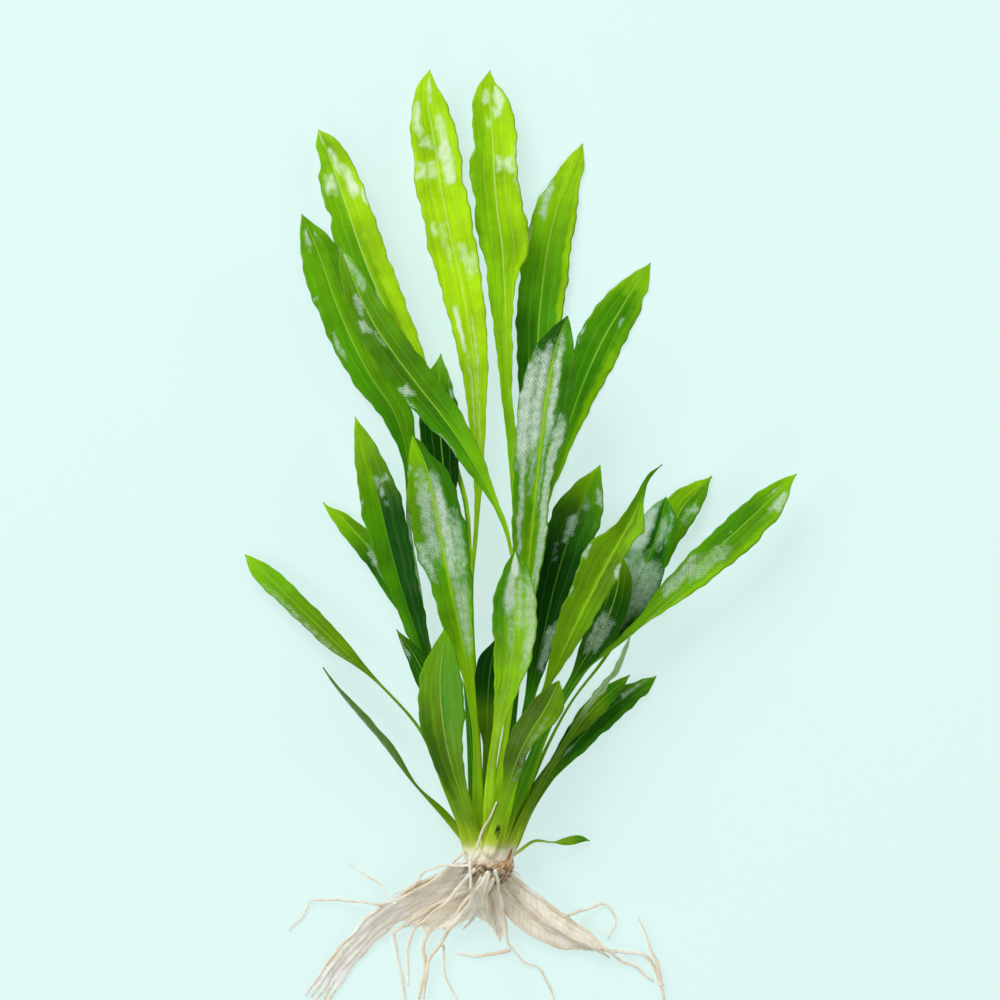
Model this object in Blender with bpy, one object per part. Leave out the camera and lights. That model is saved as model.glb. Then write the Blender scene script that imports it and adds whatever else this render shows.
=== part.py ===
"""Amazon sword plant, bare rooted and laid on its back.

The plant rests on the plane z = 0 with its leaf tips towards +Y and its roots towards -Y.
The leaves, the crown and the root strands are separate pieces with a small gap between them.
Each leaf and each strand is given by its route as seen from above and by the height that it
would like to have. They are laid down one after the other, and each one rises just enough to
pass over those laid before it, as leaves of a real plant do when it is laid down.
"""

import math

import bmesh
import bpy
import numpy as np

for old in list(bpy.data.objects):
    bpy.data.objects.remove(old, do_unlink=True)

# ---- driving dimensions, metres ----
MM = 0.001
GAP = 0.4 * MM                # clear height between a leaf and what it lies over
RUFFLE = 0.9 * MM             # room kept above the edges of a blade, which stand up in ripples
SIDE_GAP = 0.4 * MM           # clear width beside each piece, and the height map's cell

STALK_WIDTHS = (3.4, 2.3)     # mm, at the foot and where the stalk has narrowed
STALK_TAPER = 45 * MM         # length over which the stalk narrows
STALK_THICKNESS = 1.5 * MM
STALK_RING_STEP = 22 * MM     # distance between the rings of a stalk
RUNNER_STALK_WIDTHS = (1.6, 1.2)
BLADE_THICKNESS = 0.5 * MM
MIDRIB_THICKNESS = 1.0 * MM
BLADE_NECK = 0.2              # width where the blade starts, as a share of its full width
BLADE_END = 0.3 * MM          # half the width of the tip's blunt end
BLADE_RING_STEP = 13          # mean distance between the rings of a blade, mm
TIP_CROWDING = 0.85           # below 1, the rings crowd less towards the tip
FOLD_START = 0.25             # share of the blade over which its fold sets in
LEAF_STIFFNESS = 1.0 * MM     # how far a ring may sag below the middle of its neighbours

CROWN_HEIGHT = 12.2 * MM      # height of the crown's axis above the surface
CROWN_DEPTH = 1.14            # its front-to-back radius as a share of its sideways radius
CROWN_TOP = 0.5 * MM          # y where the crown ends and the leaf stalks begin
CROWN_SIDES = 20
CROWN_SAMPLES = 60            # points each way when its front goes on the height map
# distance below the crown's top and radius there, mm
CROWN_PROFILE = (
    (0.0, 9.8), (2.0, 10.5), (5.5, 10.7), (9.0, 10.2), (12.5, 8.8), (15.5, 6.4), (17.5, 3.5),
)

ROOT_STEP = 8.0 * MM          # distance between the rings of a root strand
ROOT_COLUMNS = (-1.0, -0.5, 0.5, 1.0)        # its six-sided section, in radii
ROOT_TOPS = (0.0, 0.866, 0.866, 0.0)
ROOT_STIFFNESS = 1.5 * MM

# ---- colours and finishes ----
FINISHES = {
    "leaf_young": ((0.33, 0.62, 0.02), 0.30),
    "leaf_grown": ((0.13, 0.40, 0.01), 0.28),
    "leaf_old": ((0.03, 0.15, 0.01), 0.25),
    "crown": ((0.78, 0.70, 0.52), 0.60),
    "root": ((0.78, 0.68, 0.48), 0.65),
}

# ---- leaves, in the order in which they are laid down ----
# route: points from the stalk's foot to the tip as seen from above, mm from the crown's top
# blade: length of the blade along the route from the tip, and its full width, mm
# form: where the blade is widest (share of its length), how slender its base is, how blunt its tip is
# heights: wished height of the midrib at the foot, a little past the middle and at the tip, mm
# fold: how far the two halves are folded up from flat; roll: how far the blade turns on its side
LEAVES = (
    dict(name="leaf_01", finish="leaf_grown",
         route=((-8.6, 1.2), (-21.6, 58), (-28, 101), (-32.6, 131), (-31.6, 159), (-37, 171), (-45, 182.8),
                (-58.8, 210.4), (-68.4, 237), (-75.2, 252.8)),
         blade=(116, 18.0), form=(0.60, 0.6, 3.0), heights=(3, 3, 0), fold=0.05, roll=0),
    dict(name="leaf_02", finish="leaf_grown",
         route=((4, 1.2), (11.4, 66), (16.8, 130), (18.8, 178), (20.4, 214),
                (25.8, 250), (37.6, 281.2)),
         blade=(154, 19.4), form=(0.62, 1.5, 3.0), heights=(2.5, 3, 0), fold=0.06, roll=0),
    dict(name="leaf_03", finish="leaf_grown",
         route=((4.2, 1.2), (16.6, 66), (22.8, 130), (32.6, 170), (43.6, 198),
                (56.2, 220), (64.9, 233.2)),
         blade=(112, 17.8), form=(0.70, 2.2, 2.6), heights=(4, 0, 0), fold=0, roll=0),
    dict(name="leaf_04", finish="leaf_old",
         route=((8.6, 1.2), (17.2, 19.2), (27.6, 32.4), (45.6, 52), (60, 62.8), (67.2, 67.2)),
         blade=(60, 15.4), form=(0.60, 1.0, 2.3), heights=(6, 3, 1), fold=0.12, roll=0),
    dict(name="leaf_05", finish="leaf_grown",
         route=((8.4, 1.2), (29.2, 50), (52.4, 82), (66.6, 109.6), (76.2, 133), (89.6, 147.6)),
         blade=(86, 16.4), form=(0.62, 1.0, 2.5), heights=(5, 6, 1), fold=0.1, roll=0),
    dict(name="leaf_06", finish="leaf_old",
         route=((-8.8, 1.2), (-14, 8), (-22, 16.4), (-28.8, 23.2), (-34.1, 30.9), (-50.3, 50.9),
                (-62.4, 65), (-66.8, 70.8)),
         blade=(61, 5.4), form=(0.45, 1.0, 2.0), heights=(6, 6, 1), fold=0, roll=60),
    dict(name="leaf_07", finish="leaf_grown",
         route=((-8.8, 1.2), (-15, 14), (-22.8, 38), (-33.6, 53), (-43.4, 63.8), (-60.3, 79.9),
                (-78.9, 97.9), (-93.6, 112.4), (-98, 116)),
         blade=(76, 10.8), form=(0.62, 0.7, 4.0), heights=(8, 9, 2), fold=0.15, roll=0),
    dict(name="leaf_08", finish="leaf_grown",
         route=((-8.6, 1.2), (-18.4, 42), (-29.8, 83), (-43.5, 111.8), (-56, 127.6), (-66.8, 137.2)),
         blade=(66, 11.2), form=(0.55, 1.5, 2.5), heights=(5, 4, 1), fold=0.1, roll=0),
    dict(name="leaf_09", finish="leaf_young",
         route=((-4.4, 1.2), (-6.4, 66), (-7.8, 116), (-9.2, 134), (-11.2, 146), (-17, 160.4),
                (-31.6, 193.6),
                (-43, 218), (-51.2, 238), (-60.6, 266), (-68.3, 286.4)),
         blade=(137, 19.0), form=(0.64, 1.1, 3.2), heights=(7, 12, 6), fold=0.08, roll=0),
    dict(name="leaf_10", finish="leaf_young",
         route=((0, 1.2), (9.2, 66), (11.6, 114), (10, 146), (7.4, 190), (6.6, 214), (5.3, 238),
                (2.8, 258), (1.4, 282), (0.3, 298), (0.4, 310)),
         blade=(190, 20.0), form=(0.75, 3.2, 4.0), heights=(6, 12, 8), fold=0.08, roll=0),
    dict(name="leaf_11", finish="leaf_young",
         route=((-4.2, 1.2), (-4.8, 46), (-6.6, 82), (-7.2, 98), (-6.6, 114), (-4.6, 132), (-4.4, 150),
                (-5, 178), (-6.6, 198), (-9.9, 218), (-15, 242), (-18.4, 258), (-22, 282),
                (-24.6, 298), (-23.6, 310)),
         blade=(166, 20.0), form=(0.70, 1.4, 4.0), heights=(8, 16, 12), fold=0.06, roll=0),
    dict(name="leaf_12", finish="leaf_grown",
         route=((-4.6, 1.2), (-9.2, 66), (-14.8, 126), (-17.6, 146), (-20, 174), (-19.2, 196.4)),
         blade=(66, 16.8), form=(0.60, 1.0, 2.5), heights=(9, 14, 12), fold=0.1, roll=0),
    dict(name="leaf_13", finish="leaf_old",
         route=((4, 1.2), (12.8, 42), (19.6, 74), (26.8, 106), (35.2, 132), (44.4, 152)),
         blade=(98, 20.8), form=(0.67, 1.4, 2.3), heights=(8, 12, 14), fold=0.15, roll=0),
    dict(name="leaf_14", finish="leaf_old",
         route=((6.8, 1.2), (23.6, 46), (41.2, 76), (56.4, 100), (66.4, 122), (70.8, 139.2)),
         blade=(79, 19.2), form=(0.62, 1.0, 3.5), heights=(9, 16, 14), fold=0.12, roll=0),
    dict(name="leaf_15", finish="leaf_grown",
         route=((8.6, 1.2), (18.4, 22), (30.4, 40), (40.4, 53.2), (56.4, 68)),
         blade=(38, 8.0), form=(0.50, 1.0, 2.0), heights=(9, 9, 8), fold=0.1, roll=0),
    dict(name="leaf_16", finish="leaf_old",
         route=((-8.4, 1.2), (-15.6, 42), (-25.6, 74), (-36, 106), (-43, 134), (-48.9, 157.2),
                (-53.4, 171.2)),
         blade=(118, 19.6), form=(0.60, 1.5, 1.7), heights=(11, 18, 16), fold=0.3, roll=0),
    dict(name="leaf_17", finish="leaf_grown",
         route=((-8.2, 1.2), (-16.2, 38), (-20.2, 52), (-27.4, 72), (-36.8, 86.4)),
         blade=(46, 8.6), form=(0.45, 1.0, 2.0), heights=(12, 12, 10), fold=0.1, roll=0),
    dict(name="leaf_18", finish="leaf_old",
         route=((-0.2, 1.2), (-0.8, 42), (0.4, 70), (4.4, 86)),
         blade=(48, 12.0), form=(0.60, 1.0, 2.5), heights=(11, 16, 16), fold=0.1, roll=0),
    dict(name="leaf_19", finish="leaf_grown",
         route=((8.4, 1.2), (20.4, 40), (36.4, 69.2), (55.6, 85.2), (78.4, 107.2), (101.2, 128),
                (122.8, 148.4)),
         blade=(94, 16.8), form=(0.60, 0.8, 2.6), heights=(11, 20, 14), fold=0.15, roll=0),
    dict(name="leaf_20", finish="leaf_old",
         route=((8.4, 1.2), (20.4, 26), (37.2, 53.2), (51.2, 72), (56.4, 84.4)),
         blade=(58, 7.2), form=(0.50, 1.0, 2.2), heights=(14, 18, 16), fold=0, roll=-55),
    dict(name="leaf_21", finish="leaf_grown",
         route=((4.2, 1.2), (21.6, 46), (37.2, 73.2), (48.8, 94.8), (53.2, 116)),
         blade=(55, 13.6), form=(0.60, 1.0, 2.5), heights=(12, 20, 22), fold=0.1, roll=0),
    dict(name="leaf_22", finish="leaf_grown",
         route=((0.2, 1.2), (7.6, 50), (14, 98), (18.4, 138), (22, 172), (26.4, 198), (31.2, 211.2)),
         blade=(131, 20.8), form=(0.70, 0.9, 3.0), heights=(13, 24, 26), fold=0.15, roll=0),
    dict(name="leaf_23", finish="leaf_grown",
         route=((4.2, 1.2), (16.4, 46), (26.8, 72), (36, 92), (46.8, 113), (56.6, 131), (63.4, 146),
                (68.4, 152)),
         blade=(101, 18.8), form=(0.48, 1.0, 1.05), heights=(16, 32, 40), fold=0.35, roll=0),
    dict(name="leaf_24", finish="leaf_grown",
         route=((-4.2, 1.2), (-5.2, 42), (-8.8, 72), (-13.6, 95.6), (-19.6, 126), (-24.4, 150),
                (-30, 163.6)),
         blade=(102, 21.6), form=(0.62, 1.3, 2.6), heights=(14, 34, 40), fold=0.15, roll=0),
    dict(name="leaf_25", finish="leaf_grown",
         route=((0, 1.2), (10, 66), (10.8, 94), (7.2, 124), (-2.8, 146.8), (-16, 168),
                (-31.6, 188), (-46.8, 210), (-59.6, 239.2)),
         blade=(134, 16.0), form=(0.55, 1.6, 3.0), heights=(16, 34, 22), fold=0.15, roll=0),
    dict(name="leaf_26", finish="leaf_grown",
         route=((-0.4, 1.2), (0.4, 30), (4, 52), (9.1, 76), (10, 98), (10.4, 118.4)),
         blade=(73, 18.4), form=(0.62, 1.2, 2.4), heights=(18, 44, 60), fold=0.15, roll=0),
    dict(name="leaf_27", finish="leaf_grown",
         route=((-4.6, 1.2), (-12, 24), (-15.6, 36), (-19.2, 60), (-18.4, 78), (-17.6, 87.2)),
         blade=(76, 18.8), form=(0.60, 1.4, 2.6), heights=(16, 38, 52), fold=0.12, roll=0),
    dict(name="leaf_28", finish="leaf_grown",
         route=((0.6, 1.2), (5.4, 18), (13.2, 40), (22.4, 56), (27.6, 66.8)),
         blade=(50, 15.2), form=(0.62, 1.0, 3.0), heights=(18, 34, 44), fold=0.15, roll=0),
    dict(name="leaf_29", finish="leaf_grown",
         route=((12.0, -2.4), (15, 0.4), (18.8, 1.6), (27.6, 0.8), (36.4, 2), (40.4, 1.2)),
         blade=(15, 4.0), form=(0.55, 1.0, 2.0), heights=(12, 6, 2), fold=0.1, roll=0),
)

# ---- root strands, in the order in which they are laid down ----
# route as for the leaves; width: diameter at the start and at the end, mm
# heights: wished height of the strand's middle at the start, halfway and at the end, mm
BUNDLE_ROUTE = ((-26.4, -19.8), (-39.6, -27.6), (-50, -37.2), (-58, -46), (-65.2, -56), (-71.6, -66.8))
BUNDLE_STARTS = ((-7.6, -15.9), (-9.4, -14.2), (-10.7, -12.2), (-11.6, -9.9), (-12.0, -7.5))
BUNDLE_SPACING = 2.2          # mm between the strands of the wide bundle
BUNDLE_STEP = 10              # every tenth point of its middle line is used

SIDE_ROOTS = tuple(
    dict(name=f"root_{number + 1:02d}", bundle=number - 2, start=start,
         width=(2.0, 1.3), heights=(9 - number, 2, 0))
    for number, start in enumerate(BUNDLE_STARTS)
) + (
    dict(name="root_06", width=(2.0, 1.4), heights=(8, 3, 0),
         route=((-5.7, -17.3), (-22, -25), (-34, -32.5), (-38.6, -37.6), (-36, -47), (-34.4, -58),
                (-34, -66))),
    dict(name="root_07", width=(2.2, 1.6), heights=(8, 3, 0),
         route=((-3.0, -18.4), (-14, -28), (-23, -34.5), (-26.4, -40), (-25.6, -51.2), (-28, -61.6),
                (-28.6, -66))),
    dict(name="root_08", width=(3.0, 1.6), heights=(7, 3, 1),
         route=((0.0, -18.6), (2.4, -28), (4.5, -39))),
    dict(name="root_09", width=(2.4, 1.6), heights=(8, 4, 1),
         route=((3.0, -18.4), (8.5, -29), (18.4, -36.8), (28.8, -41.2), (40.8, -42.4), (47, -43))),
    dict(name="root_10", width=(2.2, 1.6), heights=(8, 3, 0),
         route=((5.7, -17.3), (19, -30.5), (34, -37.6), (50, -43.2), (59.2, -43.6), (65.2, -47.2),
                (67.6, -53.2), (69.6, -60.4), (70.4, -66))),
    dict(name="root_11", width=(2.2, 1.4), heights=(9, 4, 0),
         route=((8.0, -15.3), (17.4, -26.6), (29, -34.6), (40.4, -40.4), (48, -46))),
    dict(name="root_12", width=(2.4, 1.3), heights=(10, 4, 0),
         route=((9.9, -13.0), (23.6, -24), (33.6, -31.2), (44, -38.8), (50, -45.2), (59.2, -50),
                (66.4, -55.2))),
    dict(name="root_13", width=(1.5, 0.9), heights=(11, 4, 0),
         route=((-12.3, -4.6), (-22, -13.5), (-34, -20.6), (-44.8, -23.6), (-58, -22.8), (-69.2, -22.4),
                (-73.6, -25.2), (-75.6, -30.8), (-80.4, -35.2))),
    dict(name="root_14", width=(1.5, 1.0), heights=(4, 1, 1),
         route=((30.5, -28.6), (35.6, -27.2), (44.8, -24.8), (50, -25.6), (51.6, -28), (49.2, -33),
                (48, -38.4))),
    dict(name="root_15", width=(1.7, 1.2), heights=(2, 2, 1),
         route=((69.2, -57.0), (67.4, -49), (64.4, -40), (62.4, -34), (60.4, -30.8))),
)

FRONT_ROOTS = (
    dict(name="root_16", width=(2.0, 1.2), heights=(16, 3, 0),
         route=((-7.6, -11.2), (-18, -23.5), (-28, -32.4), (-32, -39), (-33, -48), (-32.4, -57))),
    dict(name="root_17", width=(2.2, 1.2), heights=(17, 4, 0),
         route=((-4.4, -14.6), (-11, -25), (-18, -34))),
    dict(name="root_18", width=(2.2, 1.2), heights=(17, 4, 0),
         route=((0.6, -15.0), (-4.5, -26), (-10, -34.5))),
    dict(name="root_19", width=(1.3, 0.8), heights=(17, 6, 4),
         route=((-9.0, -7.4), (-20.4, -8.2), (-26.4, -11.4), (-30.4, -16), (-38.8, -20.4))),
    dict(name="root_20", width=(1.0, 0.7), heights=(6, 4, 1),
         route=((-38, -22.6), (-44.8, -15.4), (-52, -10.4), (-58, -6.8))),
    dict(name="root_21", width=(1.6, 1.0), heights=(20, 4, 0),
         route=((3.0, -11.6), (5.4, -24), (7.2, -36), (9.2, -42.8), (14.4, -47.2), (21.6, -51.2),
                (23.6, -56.4), (26, -64))),
    dict(name="root_22", width=(1.9, 1.4), heights=(1, 1, 0),
         route=((7.2, -43.0), (4, -43.6), (-4, -45.2), (-13.2, -44.4))),
    dict(name="root_23", width=(2.0, 1.3), heights=(21, 6, 0),
         route=((-1.8, -12.4), (-6.4, -20.5), (-13.2, -30.8), (-20.4, -41.2), (-23.8, -47), (-25.4, -54),
                (-26.4, -62))),
    dict(name="root_24", width=(1.2, 0.9), heights=(3, 1, 0),
         route=((-18.2, -42.0), (-17.6, -46), (-18, -51.2), (-13.2, -61.6), (-12, -65.2))),
    dict(name="root_25", width=(1.3, 1.0), heights=(19, 12, 6),
         route=((0.0, -11.0), (-2.4, -20), (-1.6, -28))),
    dict(name="root_26", width=(1.4, 0.9), heights=(20, 22, 24),
         route=((-7.2, -13.2), (-7.6, -8), (-6.4, -2.8), (-4, 2.8), (-1.6, 8), (0.4, 12.8), (3.2, 18.4))),
)


# ---- the height map: how high the pieces laid so far reach ----

MAP_X = (-130 * MM, 150 * MM)
MAP_Y = (-90 * MM, 340 * MM)
map_shape = (int((MAP_X[1] - MAP_X[0]) / SIDE_GAP) + 1, int((MAP_Y[1] - MAP_Y[0]) / SIDE_GAP) + 1)
height_map = np.full(map_shape, -GAP)


def map_cells(points):
    column = np.round((points[:, 0] - MAP_X[0]) / SIDE_GAP).astype(int)
    row = np.round((points[:, 1] - MAP_Y[0]) / SIDE_GAP).astype(int)
    return column, row


def raise_map(points, tops):
    """Lift the map to the given tops, one cell wider on every side."""
    column, row = map_cells(points)
    for side in (-1, 0, 1):
        for along in (-1, 0, 1):
            np.maximum.at(height_map, (column + side, row + along), tops)


# ---- routes ----

def smooth_route(points):
    """Points about 1 mm apart on a smooth curve through the given ones, in metres."""
    given = np.array(points, float) * MM
    given = np.vstack([2 * given[0] - given[1], given, 2 * given[-1] - given[-2]])
    curve = []
    for before, start, end, after in zip(given, given[1:], given[2:], given[3:]):
        steps = max(2, int(np.linalg.norm(end - start) / MM))
        for t in np.arange(steps) / steps:
            curve.append(0.5 * (2 * start + (end - before) * t
                                + (2 * before - 5 * start + 4 * end - after) * t * t
                                + (3 * start - before - 3 * end + after) * t ** 3))
    curve.append(given[-2])
    return np.array(curve)


def lengths_along(curve):
    steps = np.linalg.norm(np.diff(curve, axis=0), axis=1)
    return np.concatenate([[0], np.cumsum(steps)])


def at_lengths(curve, wanted):
    """Places on the curve and unit vectors to its right at the wanted lengths."""
    along = lengths_along(curve)
    place = np.column_stack([np.interp(wanted, along, curve[:, k]) for k in (0, 1)])
    tangent = np.gradient(curve, along, axis=0)
    heading = np.column_stack([np.interp(wanted, along, tangent[:, k]) for k in (0, 1)])
    heading /= np.linalg.norm(heading, axis=1)[:, None]
    return place, np.column_stack([heading[:, 1], -heading[:, 0]])


def curve_through(share, start, middle, end, middle_share=0.55):
    """A quadratic curve through three heights."""
    a, b, c = 0.0, middle_share, 1.0
    return (start * (share - b) * (share - c) / ((a - b) * (a - c))
            + middle * (share - a) * (share - c) / ((b - a) * (b - c))
            + end * (share - a) * (share - b) / ((c - a) * (c - b)))


# ---- laying a strip down ----

LAYING_TURNS = 60
SMOOTHING_TURNS = 30          # in the first turns the strip is also kept from sagging between supports
SAMPLE_STEP = 0.8 * SIDE_GAP

# A strip is a row of rings. Ring r has its place, the vector to its right, and for each of its
# columns how far right it lies and how far its underside and its top lie from the ring's height.

def strip_samples(place, right, side, under, over):
    """Closely spaced points of each stretch between two rings."""
    samples = []
    points = place[:, None, :] + right[:, None, :] * side[:, :, None]
    for ring in range(len(place) - 1):
        stretch = []
        length = np.linalg.norm(place[ring + 1] - place[ring])
        share = np.linspace(0, 1, max(3, int(length / SAMPLE_STEP)))
        for column in range(side.shape[1] - 1):
            width = max(abs(side[r, column + 1] - side[r, column]) for r in (ring, ring + 1))
            cross = np.linspace(0, 1, int(width / SAMPLE_STEP) + 2)
            s, c = [grid.ravel() for grid in np.meshgrid(share, cross)]
            weights = ((1 - s) * (1 - c), (1 - s) * c, s * (1 - c), s * c)
            corners = ((ring, column), (ring, column + 1), (ring + 1, column), (ring + 1, column + 1))
            point = sum(w[:, None] * points[corner] for w, corner in zip(weights, corners))
            low = sum(w * under[corner] for w, corner in zip(weights, corners))
            high = sum(w * over[corner] for w, corner in zip(weights, corners))
            stretch.append((point, s, low, high))
        samples.append([np.concatenate(parts) for parts in zip(*stretch)])
    return samples


def lay_down(wished, samples, stiffness, ruffled):
    """Heights of the rings: the wished ones, raised where the strip would touch what lies below.

    ruffled: how far the strip's edges may stand up at each ring.
    """
    heights = np.array(wished, float)
    needs = []
    for point, share, low, high in samples:
        needs.append(height_map[map_cells(point)] + GAP - low)
    for turn in range(LAYING_TURNS):
        for ring, (point, share, low, high) in enumerate(samples):
            missing = needs[ring] - heights[ring] * (1 - share) - heights[ring + 1] * share
            worst = int(np.argmax(missing))
            if missing[worst] > 0:
                near, far = 1 - share[worst], share[worst]
                heights[ring] += missing[worst] * near / (near ** 2 + far ** 2)
                heights[ring + 1] += missing[worst] * far / (near ** 2 + far ** 2)
        if turn < SMOOTHING_TURNS:
            between = 0.5 * (heights[:-2] + heights[2:]) - stiffness
            heights[1:-1] = np.maximum(heights[1:-1], between)
    for ring, (point, share, low, high) in enumerate(samples):
        level = heights[ring] * (1 - share) + heights[ring + 1] * share
        edge = ruffled[ring] * (1 - share) + ruffled[ring + 1] * share
        raise_map(point, level + high + edge)
    return heights


# ---- meshes ----

finishes = {}
for finish_name, (colour, roughness) in FINISHES.items():
    material = bpy.data.materials.new(finish_name)
    material.use_nodes = True
    shader = material.node_tree.nodes["Principled BSDF"]
    shader.inputs["Base Color"].default_value = (*colour, 1.0)
    shader.inputs["Roughness"].default_value = roughness
    finishes[finish_name] = material


def closed_loft(name, rings, finish):
    """One closed body through rings of equal length, with a flat cap at each end."""
    body = bmesh.new()
    loops = [[body.verts.new(point) for point in ring] for ring in rings]
    for near, far in zip(loops, loops[1:]):
        for k in range(len(near)):
            body.faces.new((near[k - 1], near[k], far[k], far[k - 1]))
    body.faces.new(loops[0])
    body.faces.new(loops[-1])
    bmesh.ops.recalc_face_normals(body, faces=body.faces)
    mesh = bpy.data.meshes.new(name)
    body.to_mesh(mesh)
    body.free()
    mesh.shade_smooth()
    mesh.set_sharp_from_angle(angle=math.radians(50))
    mesh.materials.append(finishes[finish])
    piece = bpy.data.objects.new(name, mesh)
    bpy.context.scene.collection.objects.link(piece)
    return piece


def strip_rings(place, right, side, under, over, heights):
    """Rings of points, along the underside from left to right and back over the top."""
    rings = []
    for r, height in enumerate(heights):
        along_under = [(*(place[r] + right[r] * side[r, k]), height + under[r, k])
                       for k in range(side.shape[1])]
        along_over = [(*(place[r] + right[r] * side[r, k]), height + over[r, k])
                      for k in reversed(range(side.shape[1]))
                      if over[r, k] > under[r, k]]
        rings.append(along_under + along_over)
    return rings


def blade_width(share, form):
    """Width of a blade as a share of its full width, from its neck (0) to its tip (1)."""
    widest, slenderness, bluntness = form
    rising = np.sin(0.5 * math.pi * np.clip(share / widest, 0, 1)) ** slenderness
    rising = BLADE_NECK + (1 - BLADE_NECK) * rising
    past = np.clip((share - widest) / (1 - widest), 0, 1)
    return rising * (1 - past ** bluntness) ** 0.8


def make_leaf(name, finish, route, blade, form, heights, fold, roll, stalk=STALK_WIDTHS):
    """A leaf: a thin stalk that widens into a blade with a thicker middle."""
    curve = smooth_route(route)
    total = lengths_along(curve)[-1]
    neck = total - blade[0] * MM
    stalk_steps = max(2, round(neck / STALK_RING_STEP))
    blade_steps = max(6, round(blade[0] / BLADE_RING_STEP))
    quarter_turn = 0.5 * math.pi * np.linspace(0, 1, blade_steps + 1)[1:]
    towards_tip = np.sin(quarter_turn) ** TIP_CROWDING
    wanted = np.concatenate([np.linspace(0, neck, stalk_steps + 1), neck + (total - neck) * towards_tip])
    place, right = at_lengths(curve, wanted)
    right[0] = (1, 0)

    foot_half, stalk_half = 0.5 * MM * stalk[0], 0.5 * MM * stalk[1]
    share = np.clip((wanted - neck) / (total - neck), 0, 1)
    half = 0.5 * blade_width(share, form) * blade[1] * MM
    narrowed = np.clip(wanted / min(neck, STALK_TAPER), 0, 1)
    on_stalk = foot_half + (stalk_half - foot_half) * narrowed
    half = np.where(wanted < neck, on_stalk, np.maximum(half, BLADE_END))
    on_blade = np.clip(share / FOLD_START, 0, 1)

    turn = math.radians(roll) * on_blade
    side = half[:, None] * np.array([-1, 0, 1])
    lean = side * np.tan(turn)[:, None] + np.abs(side) * fold * on_blade[:, None]
    edge = (0.5 * STALK_THICKNESS * (1 - on_blade) + BLADE_THICKNESS * on_blade) / 2
    edge = edge / np.cos(turn)
    middle_under = STALK_THICKNESS / 2 * (1 - on_blade) + edge * on_blade
    middle_over = STALK_THICKNESS / 2 * (1 - on_blade) + (MIDRIB_THICKNESS - BLADE_THICKNESS / 2) * on_blade
    middle_over = np.maximum(middle_over, edge)
    middle_over[-1] = edge[-1]
    under = lean - np.column_stack([edge, middle_under, edge])
    over = lean + np.column_stack([edge, middle_over, edge])

    wished = curve_through(wanted / total, *heights) * MM
    samples = strip_samples(place, right, side, under, over)
    levels = lay_down(wished, samples, LEAF_STIFFNESS, RUFFLE * on_blade)
    return closed_loft(name, strip_rings(place, right, side, under, over, levels), finish)


def make_root(name, width, heights, route=None, bundle=None, start=None):
    """A root strand; one of the wide bundle runs beside the bundle's middle line."""
    if bundle is not None:
        middle = smooth_route(BUNDLE_ROUTE)
        place, right = at_lengths(middle, lengths_along(middle)[::BUNDLE_STEP])
        shifted = place + right * bundle * BUNDLE_SPACING * MM
        route = [start] + [tuple(point / MM) for point in shifted]
    curve = smooth_route(route)
    total = lengths_along(curve)[-1]
    wanted = np.linspace(0, total, max(3, round(total / ROOT_STEP)) + 1)
    place, right = at_lengths(curve, wanted)
    share = wanted / total
    radius = 0.5 * MM * (width[0] + (width[1] - width[0]) * share)
    radius[-1] *= 0.5
    side = radius[:, None] * np.array(ROOT_COLUMNS)
    over = radius[:, None] * np.array(ROOT_TOPS)
    wished = curve_through(share, *heights, middle_share=0.5) * MM
    samples = strip_samples(place, right, side, -over, over)
    levels = lay_down(wished, samples, ROOT_STIFFNESS, np.zeros(len(wanted)))
    return closed_loft(name, strip_rings(place, right, side, -over, over, levels), "root")


def make_crown():
    rings = []
    for below, radius in CROWN_PROFILE:
        ring = []
        for k in range(CROWN_SIDES):
            turn = 2 * math.pi * (k + 0.5) / CROWN_SIDES
            ring.append((radius * MM * math.sin(turn), CROWN_TOP - below * MM,
                         CROWN_HEIGHT - radius * CROWN_DEPTH * MM * math.cos(turn)))
        rings.append(ring)
    return closed_loft("crown", rings, "crown")


def crown_on_map():
    """The crown's front side on the height map, for the roots that start on it."""
    across, down = np.linspace(-1, 1, CROWN_SAMPLES), np.linspace(0, CROWN_PROFILE[-1][0], CROWN_SAMPLES)
    side, below = np.meshgrid(across, down)
    side, below = side.ravel(), below.ravel()
    radius = np.interp(below, *zip(*CROWN_PROFILE)) * MM
    points = np.column_stack([side * radius, CROWN_TOP - below * MM])
    raise_map(points, CROWN_HEIGHT + radius * CROWN_DEPTH * np.sqrt(1 - side ** 2))


# ---- the plant ----

pieces = [make_leaf(**leaf) for leaf in LEAVES[:-1]]
pieces += [make_root(**root) for root in SIDE_ROOTS]
crown_on_map()
pieces.append(make_crown())
pieces.append(make_leaf(**LEAVES[-1], stalk=RUNNER_STALK_WIDTHS))
pieces += [make_root(**root) for root in FRONT_ROOTS]

# the origin is the middle of the plant's footprint, on the surface that it lies on
corners = np.array([vertex.co for piece in pieces for vertex in piece.data.vertices])
low, high = corners.min(axis=0), corners.max(axis=0)
for piece in pieces:
    for vertex in piece.data.vertices:
        vertex.co.x -= (low[0] + high[0]) / 2
        vertex.co.y -= (low[1] + high[1]) / 2
        vertex.co.z -= low[2]
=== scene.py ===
import math
from types import SimpleNamespace

import bmesh
import bpy
import numpy as np
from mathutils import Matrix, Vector, noise


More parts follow.
